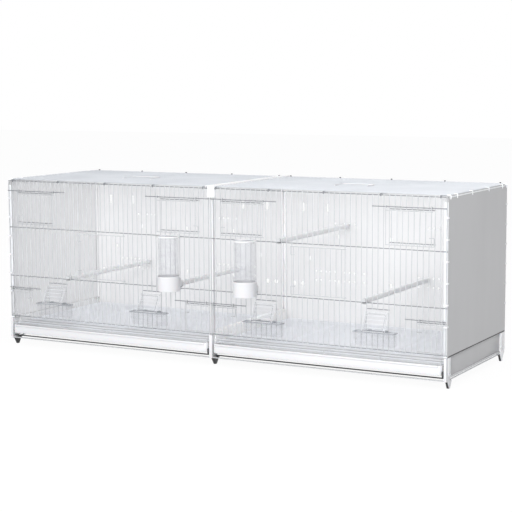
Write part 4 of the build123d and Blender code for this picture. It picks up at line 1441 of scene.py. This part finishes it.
@dataclass(frozen=True)
class Feeder:
    """A clear trough and a clear ribbed hood that hang outside a mouth of the grille."""

    bay: Bay
    letter: str
    mouth: Opening
    width: float = 98.0
    depth: float = 26.0
    wall: float = 1.6
    trough_levels: tuple[tuple[float, float, float, float], ...] = (
        (2.5, 15.5, 3.0, -33.0), (0.8, 17.0, 4.0, -31.8), (0.3, 21.0, 4.5, -27.0), (0.1, 24.8, 5.0, -16.5),
        (0.0, 26.0, 5.0, -1.6), (0.0, 26.0, 5.0, -0.3), (1.6, 24.4, 3.5, -0.3), (1.6, 23.8, 3.5, -16.5),
        (1.6, 19.5, 3.0, -26.5), (2.8, 15.4, 2.5, -31.4))
    rim_levels: tuple[tuple[float, float, float, float], ...] = (
        (-2.2, 28.2, 6.0, -1.6), (-2.2, 28.2, 6.0, -0.4), (-1.8, 27.8, 5.6, 0.0), (1.6, 24.4, 3.5, 0.0),
        (1.6, 24.4, 3.5, -1.6), (-2.2, 28.2, 6.0, -1.6))
    hood_height: float = 43.0
    hood_top: float = 4.5
    overlap: float = 1.5
    ribs: int = 4
    frame_inset: float = 6.0
    foot_rise: float = 1.2
    skin_inset: float = 0.4
    bead: float = 0.9
    bead_inset: float = 0.5
    bead_reach: float = 0.45
    rib_proud: float = 0.4
    frame_proud: float = 0.5
    rib_wire: float = 0.8
    rib_margin: float = 3.5
    rib_ends: Pair = (0.08, 0.985)
    frame_ends: Pair = (0.10, 0.90)
    frame_bend: float = 4.0
    tab_width: float = 8.0
    tab_reach: float = 5.5

    @property
    def body(self) -> str:
        """The body that the feeder is."""
        return f"feeder_{self.bay.side}_{self.letter}"

    @property
    def back(self) -> float:
        """Depth of the feeder's back."""
        return SIZES.face_y - SIZES.run_clear

    @property
    def top(self) -> float:
        """Height of the trough's rim."""
        return self.mouth.low + SIZES.wire / 2 + SIZES.run_clear

    @property
    def middle(self) -> float:
        """Place of the feeder along the cage."""
        return (self.bay.x(self.mouth.first) + self.bay.x(self.mouth.last)) / 2

    def level(self, inset: float, front: float, radius: float, z: float) -> Level:
        """The trough's outline at one height.

        Args:
            inset: How far its ends are drawn in.
            front: How far it reaches in front of its back.
            radius: Its corners' radius.
            z: Its height over the rim's top.

        Returns:
            The level for Builder.cup.
        """
        half = self.width / 2 - inset
        back = self.back - max(inset, 0.0)
        return self.middle - half, self.middle + half, self.back - front, back, radius, self.top + z

    def trough(self) -> None:
        """Makes the trough and its rim."""
        name = f"feeder_trough_{self.bay.side}_{self.letter}"
        builder, rim = Builder(), Builder()
        builder.cup([self.level(*row) for row in self.trough_levels])
        builder.seat(name + "_shell", Finish.CLEAR, self.body, "clear_plastic", name)
        rim.cup([self.level(*row) for row in self.rim_levels])
        top, wall = self.top, self.wall
        half = self.tab_width / 2
        for sign in (-1, 1):
            x = self.middle + sign * (self.bay.x(self.mouth.last) - self.middle - SIZES.pitch / 2)
            rim.box((x - half, self.back - wall, top), (x + half, self.back + self.tab_reach, top + wall))
        # The rim takes the greyer, less clear plastic: painted shade of its thick edge.
        rim.seat(name + "_rim", Finish.RIM, self.body, "clear_plastic", bevel=0.2)

    def hood(self) -> None:
        """Makes the hood's clear panels, its thick edges and its ribs."""
        name = f"feeder_hood_{self.bay.side}_{self.letter}"
        body = self.body
        left = self.bay.x(self.mouth.first) - self.overlap
        right = self.bay.x(self.mouth.last) + self.overlap
        low, wall = self.top, self.wall
        high = low + self.hood_height
        front = self.back - self.depth
        foot = (front, low + self.foot_rise)
        head = (self.back - self.hood_top, high)
        slope = Vector((head[0] - foot[0], head[1] - foot[1]))
        normal = Vector((slope.y, -slope.x)).normalized()
        skin = Builder()
        panel = [foot, head, (head[0] + normal.x * wall, head[1] - wall * 0.6),
                 (foot[0] + normal.x * wall, foot[1] + normal.y * wall)]
        skin.prism(panel, (left + self.skin_inset, right - self.skin_inset))
        cheek = [(self.back, low), (front, low), foot, head, (self.back, high)]
        for x in (left, right - wall):
            skin.prism(cheek, (x, x + wall))
        skin.prism([(self.back, high - wall), (head[0], high - wall), head, (self.back, high)], (left, right))
        skin.seat(name + "_skin", Finish.CLEAR, body, "clear_plastic", name, bevel=0.2)
        edges = Builder()
        reach = self.bead_reach
        for x in (left + self.bead_inset, right - self.bead_inset):
            corner = (x, head[0] + reach, head[1] - reach)
            edges.wire((x, foot[0] + reach, foot[1] + reach), corner, thick=self.bead)
            edges.wire(corner, (x, self.back - reach, head[1] - reach), thick=self.bead)
        for rib in range(self.ribs + 2):
            share = min(max(rib, self.rib_ends[0]) / (self.ribs + 1), self.rib_ends[1])
            y, z = foot[0] + slope.x * share + self.rib_proud, foot[1] + slope.y * share
            edges.wire((left + self.rib_margin, y, z), (right - self.rib_margin, y, z), thick=self.rib_wire)
        # The edges and ribs take the whiter, less clear plastic: painted sheen.
        edges.seat(name + "_ribs", Finish.CLEAR_EDGE, body, "clear_plastic")
        inner = Builder()
        inset, (start, end) = self.frame_inset, self.frame_ends
        low_y, low_z = foot[0] + slope.x * start + self.frame_proud, foot[1] + slope.y * start
        high_y, high_z = foot[0] + slope.x * end + self.frame_proud, foot[1] + slope.y * end
        left, right, half = left + inset, right - inset, (left + right) / 2
        inner.wire((half, low_y, low_z), (left, low_y, low_z), (left, high_y, high_z),
                   (right, high_y, high_z), (right, low_y, low_z), (half, low_y, low_z),
                   thick=self.bead, bend=self.frame_bend)
        # The frame takes the greyer, less clear plastic: painted shade.
        inner.seat(name + "_frame", Finish.RIM, body, "clear_plastic")

    def build(self) -> None:
        """Makes the feeder."""
        self.trough()
        self.hood()


@dataclass(frozen=True)
class Drinker:
    """A clear tube standing in a white cup with a spout, held by a ring at its head."""

    bay: Bay
    cup_r: float = 28.5
    cup_height: float = 36.0
    cup_skin: tuple[Pair, ...] = ((0.0, 0.0), (26.6, 0.0), (27.8, 0.5), (28.3, 1.5), (28.3, 33.0),
                                  (28.5, 33.4), (28.5, 35.3), (27.9, 36.0), (26.0, 36.0))
    below_wire: float = 3.0
    wall: float = 2.2
    tube_r: float = 25.0
    tube_wall: float = 1.5
    tube_edge: float = 0.3
    cup_bore: Pair = (22.0, 20.7)
    bore_step: float = 0.6
    seat_depth: float = 6.0
    dome: float = 7.0
    spout_width: float = 18.0
    spout_height: float = 17.0
    spout_reach: float = 16.0
    spout_root: float = 1.2
    ring_wall: float = 2.4
    ring_height: float = 2.5
    ring_edge: float = 0.5
    arm_width: float = 4.0
    arm_root: float = 0.6
    arm_reach: float = 2.0

    def build(self) -> None:
        """Makes the drinker."""
        side = self.bay.side
        body = f"drinker_{side}"
        x = self.bay.x(self.bay.drinker.first + 1)
        y = SIZES.face_y - SIZES.run_clear - self.cup_r
        low = SIZES.lower - self.below_wire
        high = low + self.cup_height
        ring_low = SIZES.upper + SIZES.wire / 2 + SIZES.run_clear
        ring_high = ring_low + self.ring_height
        bore = self.tube_r + SIZES.run_clear
        cup = Builder()
        floor, stop = low + self.wall, high - self.seat_depth
        wide, narrow = self.cup_bore
        inside = [(bore, high - self.bore_step), (bore, stop), (wide, stop), (wide, floor + wide - narrow),
                  (narrow, floor), (0.0, floor)]
        cup.turned((x, y, 0), [(radius, low + rise) for radius, rise in self.cup_skin] + inside)
        cup.seat(f"drinker_cup_{side}_bowl", Finish.RAIL, body, "white_plastic", f"drinker_cup_{side}")
        spout = Builder()
        half, wall = self.spout_width / 2, self.wall
        bottom = SIZES.lower + SIZES.wire / 2 + SIZES.run_clear
        top = bottom + self.spout_height
        root = y + self.cup_r - self.spout_root
        spout.box((x - half, root, bottom), (x + half, self.spout_reach, bottom + wall))
        for left in (x - half, x + half - wall):
            spout.box((left, root, bottom), (left + wall, self.spout_reach, top))
        spout.box((x - half, self.spout_reach - wall, bottom), (x + half, self.spout_reach, top))
        spout.box((x - half, root, top - wall), (x + half, SIZES.face_y - wall, top))
        spout.seat(f"drinker_spout_{side}", Finish.CUP, body, "white_plastic", bevel=0.5)
        foot, shoulder = high - self.seat_depth + SIZES.run_clear, ring_high - self.dome
        skin = self.tube_wall
        crown = self.tube_r - self.dome, shoulder
        outline = [(self.tube_r - skin, foot), (self.tube_r - self.tube_edge, foot),
                   (self.tube_r, foot + self.tube_edge)]
        outline += arc(crown, self.dome, 0, 90, 8) + [(0.0, ring_high), (0.0, ring_high - skin)]
        outline += arc(crown, self.dome - skin, 90, 0, 8)
        tube = Builder()
        tube.turned((x, y, 0), outline + [outline[0]])
        tube.seat(f"drinker_tube_{side}_shell", Finish.TUBE, body, "clear_plastic", f"drinker_tube_{side}")
        ring = Builder()
        rim, edge = bore + self.ring_wall, self.ring_edge
        ring.turned((x, y, 0), [(bore, ring_low), (rim - edge, ring_low), (rim, ring_low + edge),
                                (rim, ring_high - edge), (rim - edge, ring_high), (bore, ring_high),
                                (bore, ring_low)])
        for sign in (-1, 1):
            arm = x + sign * SIZES.pitch / 2
            ring.box((arm - self.arm_width / 2, y + self.tube_r + self.arm_root, ring_low),
                     (arm + self.arm_width / 2, self.arm_reach, ring_high))
        ring.seat(f"drinker_ring_{side}_band", Finish.CUP, body, "white_plastic", f"drinker_ring_{side}")


@dataclass(frozen=True)
class Perch:
    """A perch from front to back: a forked tip on the cross wire and a pin in the back panel."""

    number: int
    below_wire: float = 3.0
    fork_clear: float = 0.3
    pin: float = 4.0
    pin_rise: float = 6.0
    travel: float = 12.4
    tip_length: float = 4.0
    tip_overlap: float = 1.0
    tine_length: float = 2.0
    end_round: float = 0.5
    edge: float = 3.4
    root: float = 3.0

    def build(self) -> None:
        """Makes the perch."""
        name = f"perch_{self.number}"
        low, high = node_box(name)
        front, wall = low.y - SIZES.front, SIZES.depth - SIZES.sheet
        back = wall - self.travel
        wire_z = low.z + self.below_wire
        slot_half = SIZES.wire / 2 + self.fork_clear
        x_mid = (low.x + high.x) / 2
        builder, tip = Builder(), Builder()

        def bar(made: Builder, near: float, far: float, bottom: float, top: float,
                radii: list[float]) -> None:
            """A length of the perch with rounded long edges and slightly drawn-in ends.

            Args:
                made: The piece that it goes into.
                near: Depth of its front end.
                far: Depth of its rear end.
                bottom: Height of its underside.
                top: Height of its top.
                radii: Its long edges' radii.
            """
            rings, cut = [], self.end_round
            for y, inset in ((near, cut), (near + cut, 0.0), (far - cut, 0.0), (far, cut)):
                outline = rounded_box((low.x + inset, bottom + inset), (high.x - inset, top - inset),
                                      radii, 5)
                rings.append([at(x, y, z) for x, z in outline])
            made.loops(rings)

        start, fork, edge = self.fork_clear, self.fork_clear + self.tine_length, self.edge
        bar(builder, start + self.tip_length, back, low.z, high.z, [edge] * 4)
        bar(tip, start, start + self.tip_length + self.tip_overlap, low.z, high.z, [edge] * 4)
        bar(tip, front, fork, wire_z + slot_half, high.z, [0.5, 0.5, edge, edge])
        bar(tip, front, fork, low.z, wire_z - slot_half, [0.7, 0.7, 0.4, 0.4])
        z = wire_z + self.pin_rise
        pin, root, end = self.pin / 2, self.root, SIZES.depth
        outline = [(0.0, back - 1.0), (root, back - 1.0), (root, back + 1.2), (pin, back + 1.5),
                   (pin, end - 0.5), (pin - 0.5, end), (0.0, end)]
        builder.turned((x_mid, 0, z), outline, (0, 1, 0), 20)
        builder.seat(name + "_bar", Finish.PERCH, name, "white_plastic", name)
        tip.seat(name + "_tip", Finish.WIRE, name, "white_plastic")


@dataclass(frozen=True)
class Leg:
    """A moulded leg. An end leg carries the outer skin of its foot, a raised strip and a round knob."""

    place: str
    word: str
    length: float = 27.0
    knob_r: float = 5.5
    knob_thick: float = 2.0
    knob_rise: float = 16.0
    knob_dish: float = 0.7
    sunk: float = 0.3
    strip: float = 7.0
    strip_thick: float = 1.0
    skin: float = 1.2
    foot_height: float = 17.5
    foot_inset: float = 18.0
    foot_length: float = 26.0
    tip_length: float = 7.0
    tip_flat: float = 0.8

    @property
    def rear(self) -> bool:
        """Whether the leg stands at the back."""
        return self.place == "rear"

    @property
    def sign(self) -> int:
        """Which end of the cage the leg stands at, or 0 in the middle."""
        return {"left": -1, "centre": 0, "right": 1}[self.word]

    def foot(self) -> Outline:
        """Draws the foot from the side, with a rounded tip.

        Returns:
            Depth and height of each corner.
        """
        middle = SIZES.depth - self.foot_inset if self.rear else self.foot_inset
        half, tip, top = self.foot_length / 2, self.tip_length / 2, self.foot_height
        bottom = [(y, self.tip_flat * z) for y, z in arc((middle, tip), tip, 0, -180, 8)]
        return [(middle - half, top), (middle + half, top)] + bottom

    def build(self) -> None:
        """Makes the leg."""
        name = f"leg_{self.place}_{self.word}"
        low, high = node_box(name)
        into = -1 if self.rear else 1
        face = (SIZES.depth - SIZES.sheet) if self.rear else low.y - SIZES.front
        near, far = sorted((face, face + into * self.length))
        x_low, x_high = max(low.x, -SIZES.bay), min(high.x, SIZES.bay)
        builder = Builder()
        builder.box((x_low, near, self.foot_height), (x_high, far, high.z))
        sign = self.sign
        if sign:
            outer = sign * SIZES.bay
            builder.prism(self.foot(), (outer, outer - sign * self.skin))
        # The rear legs take the lightest plastic: painted light on front faces that lie in shade.
        finish = Finish.BRIGHT if self.rear else Finish.RAIL
        builder.seat(name + "_body", finish, "cage", "white_plastic", name, bevel=0.5, segments=3)
        if not sign:
            return
        depth = face + into * self.length * 2 / 3
        height = self.foot_height + self.knob_rise
        strip = Builder()
        outline = arc((depth, height), self.strip, 180, 360, 16)
        outline += [(depth + self.strip, high.z), (depth - self.strip, high.z)]
        strip.prism(outline, (outer - sign * 0.2, outer + sign * self.strip_thick))
        strip.seat(name + "_strip", Finish.CUP, "cage", "white_plastic", bevel=0.5)
        out = SIZES.bay + self.knob_thick
        face = SIZES.bay + self.strip_thick - self.sunk
        knob = Builder()
        radius, dish = self.knob_r, out - self.knob_dish
        outline = [(0.0, face), (radius, face), (radius, out - 0.5), (radius - 0.5, out), (radius - 1.6, out),
                   (radius - 2.0, dish), (0.0, dish)]
        knob.turned((0, depth, height), outline, (sign, 0, 0), 32)
        knob.seat(name + "_knob", Finish.RAIL, "cage", "white_plastic")


@dataclass(frozen=True)
class Softened:
    """Small fittings whose solids are kept, with their hard edges rounded."""

    nodes: tuple[str, ...]
    finish: Finish
    slot_name: str
    bevel: float
    lowest: float = 0.0

    def build(self) -> None:
        """Makes a rounded copy of each solid, its underside raised to the lowest height."""
        for name in self.nodes:
            builder = Builder()
            builder.solid(name)
            for vertex in builder.mesh.verts:
                vertex.co.z = max(vertex.co.z, self.lowest)
            builder.seat(name + "_soft", self.finish, "cage", self.slot_name, name, bevel=self.bevel)


# Floor, light and camera


@dataclass(frozen=True)
class Lamp:
    """One soft square lamp: where it stands, the point that it faces, its side and its watts."""

    name: str
    place: Point
    aim: Point
    size: float
    power: float

    def build(self) -> None:
        """Hangs the lamp."""
        data = bpy.data.lights.new(self.name, "AREA")
        data.size = self.size
        data.energy = self.power
        holder = bpy.data.objects.new(self.name, data)
        holder.location = self.place
        holder.rotation_euler = (Vector(self.aim) - Vector(self.place)).to_track_quat("-Z", "Y").to_euler()
        bpy.context.scene.collection.objects.link(holder)


@dataclass(frozen=True)
class Studio:
    """Floor, light and camera; the camera's focal length and the picture's width are in pixels."""

    focal: float = 1432.45
    image: float = 512.0
    turns: Point = (-28.81, 7.164, -0.298)
    eye: Point = (1721.8, -2906.6, 261.5)
    whiteness: float = 0.9
    glow: float = 1.05
    room: float = 0.58
    air: Colour = (0.97, 0.98, 1.0, 1)
    paper: tuple[Colour, Colour] = ((0.66, 0.66, 0.66, 1), (0.63, 0.63, 0.64, 1))
    paper_scale: float = 0.4
    reach: float = 12000.0
    floor_thick: float = 20.0
    sensor: float = 36.0
    farthest: float = 50.0
    lamps: tuple[Lamp, ...] = (Lamp("key", (0.3, -3.3, 0.9), (-0.2, 0.0, 0.2), 2.0, 84.0),
                               Lamp("side", (1.7, -1.5, 1.5), (0.6, -0.1, 0.35), 0.8, 17.0),
                               Lamp("top", (0.0, -0.3, 2.6), (0.0, 0.0, 0.3), 1.8, 12.0))

    def camera(self) -> None:
        """The camera at the photograph's place."""
        data = bpy.data.cameras.new("view")
        data.sensor_width = self.sensor
        data.lens = self.focal / self.image * data.sensor_width
        data.clip_end = self.farthest
        yaw, pitch, roll = (math.radians(angle) for angle in self.turns)
        ahead = Vector((math.sin(yaw) * math.cos(pitch), math.cos(yaw) * math.cos(pitch), -math.sin(pitch)))
        right = Vector((math.cos(yaw), -math.sin(yaw), 0.0))
        up = right.cross(ahead)
        side = right * math.cos(roll) + up * math.sin(roll)
        rise = up * math.cos(roll) - right * math.sin(roll)
        holder = bpy.data.objects.new("view", data)
        place = at(self.eye[0], self.eye[1], SIZES.top + self.eye[2]) * MM
        rows = [[column[row] for column in (side, rise, -ahead, place)] for row in range(3)]
        holder.matrix_world = Matrix(rows + [[0, 0, 0, 1]])
        bpy.context.scene.collection.objects.link(holder)
        bpy.context.scene.camera = holder

    @staticmethod
    def white_for_rays(shader: Shader, plain: Socket, white: Socket, share: float) -> Socket:
        """Shows white to the camera, to gloss and to clear pieces, and the plain shader to all else.

        Args:
            shader: The material or world being built.
            plain: The shader that other rays meet.
            white: The shader that those rays see.
            share: How much of it they see.

        Returns:
            The mixed shader.
        """
        seen, gloss, through = (shader.node("ShaderNodeLightPath", output=f"Is {ray} Ray")
                                for ray in ("Camera", "Glossy", "Transmission"))
        shown = shader.node("ShaderNodeMath", {"operation": "ADD", "use_clamp": True},
                            {0: seen + gloss, 1: through})
        return shader.node("ShaderNodeMixShader", {}, {0: shown * share, 1: plain, 2: white})

    def floor(self) -> None:
        """The pale floor."""
        builder = Builder()
        low, high = -self.reach, self.reach
        corners = ((low, low), (high, low), (high, high), (low, high))
        builder.loops([[Vector((x, y, z)) for x, y in corners] for z in (-self.floor_thick, 0.0)])
        made = builder.object("floor", Finish.SHEET)
        shader = Shader(bpy.data.materials.new("floor_paper"))
        paper = shader.blend(shader.noise(self.paper_scale, 1.0), *self.paper)
        plain = shader.node("ShaderNodeBsdfDiffuse", {}, {"Color": paper})
        white = shader.node("ShaderNodeEmission", {}, {"Color": WHITE, "Strength": self.glow})
        shown = self.white_for_rays(shader, plain, white, self.whiteness)
        shader.node("ShaderNodeOutputMaterial", {}, {"Surface": shown})
        made.data.materials.clear()
        made.data.materials.append(shader.owner)

    def world(self) -> None:
        """The even light of a white room."""
        world = bpy.data.worlds.new("room")
        bpy.context.scene.world = world
        shader = Shader(world)
        plain, white = (shader.node("ShaderNodeBackground", {}, {"Color": colour, "Strength": level})
                        for colour, level in ((self.air, self.room), (WHITE, 1.0)))
        shader.node("ShaderNodeOutputWorld", {}, {"Surface": self.white_for_rays(shader, plain, white, 1.0)})

    def build(self) -> None:
        """Sets up the whole studio."""
        self.camera()
        self.floor()
        self.world()
        for lamp in self.lamps:
            lamp.build()
        bpy.context.scene.view_settings.view_transform = "Standard"


def dress_nodes() -> None:
    """Gives every solid that is still shown its finish."""
    slots = {"wire_paint": Finish.WIRE, "panel_paint": Finish.SHEET, "white_plastic": Finish.RAIL,
             "clear_plastic": Finish.CLEAR, "black_plastic": Finish.DARK}
    chosen = {part["node"]: slots[part["material_slot"]] for part in frame["record"]["subparts"]}
    for name, node in frame["nodes"].items():
        node.data.materials.clear()
        node.data.materials.append(chosen[name].material())


# The front divider rail takes a lighter plastic colour: painted light.
SOFTENED = (Softened(("divider_rail_front",), Finish.CUP, "white_plastic", 0.6),
            # The rear rail, sill and top channel take the lightest plastic: painted light.
            Softened(("divider_rail_rear", "divider_sill"), Finish.BRIGHT, "white_plastic", 0.6),
            Softened(("top_channel",), Finish.BRIGHT, "panel_paint", 0.35),
            # The skirts take the darker copy of the panel paint: painted shade.
            Softened(("skirt_left", "skirt_right"), Finish.END, "panel_paint", 0.3),
            # The tray guides' near-black strips stand in for the shadow in the gap under the trays' fronts:
            # painted shadow.
            Softened(("tray_guides",), Finish.DARK, "black_plastic", 0.3, 25.2),
            # The foot pads' near-black is partly dark plastic and partly painted shade of the feet's inner
            # sides.
            Softened(("foot_pads",), Finish.DARK, "black_plastic", 0.4),
            Softened(("edge_clips",), Finish.CUP, "wire_paint", 0.2))


@dataclass(frozen=True)
class LitSkins:
    """Lighter skins on the skirts' inner faces and a light web under the divider's sill: painted light where
    shade falls.
    """

    thick: float = 3.9
    inset: float = 1.0
    rise: float = 1.3
    web_half: float = 7.0
    web_foot: float = 41.0
    web_overlap: float = 0.5

    def build(self) -> None:
        """Makes the lit skins and the web."""
        for sign, side in ((-1, "left"), (1, "right")):
            low, high = node_box(f"skirt_{side}")
            inner = high.x if sign < 0 else low.x
            facing(f"skirt_{side}_lining", Finish.LINING,
                   (inner, low.y - SIZES.front + self.inset, low.z + self.inset),
                   (inner - sign * self.thick, high.y - SIZES.front - self.inset, high.z + self.rise))
        low, high = node_box("divider_sill")
        # The web closes the gap beside the sill in the lightest plastic: painted light where the gap would
        # show shade.
        facing("divider_web", Finish.BRIGHT, (-self.web_half, low.y - SIZES.front, self.web_foot),
               (self.web_half, high.y - SIZES.front, low.z + self.web_overlap), "white_plastic")


def main() -> None:
    """Builds the scene in order."""
    logging.basicConfig(level=logging.INFO, format="%(message)s")
    Studio().build()
    dress_nodes()
    for number in (0, 1):
        bay = Bay(number)
        for piece in (FrontGrille, TopGrille, Handle, Doors, FloorGrid, BackPanel, EndPanel, Tray, Drinker):
            piece(bay).build()
        for letter, mouth in zip("ab", bay.feeders):
            Feeder(bay, letter, mouth).build()
    for number in range(1, 5):
        Perch(number).build()
    for place in ("front", "rear"):
        for word in ("left", "centre", "right"):
            Leg(place, word).build()
    for piece in (BaseWires(), GrilleClips(), LitSkins(), *SOFTENED):
        piece.build()
    bpy.context.view_layer.update()


if __name__ == "__main__":
    main()
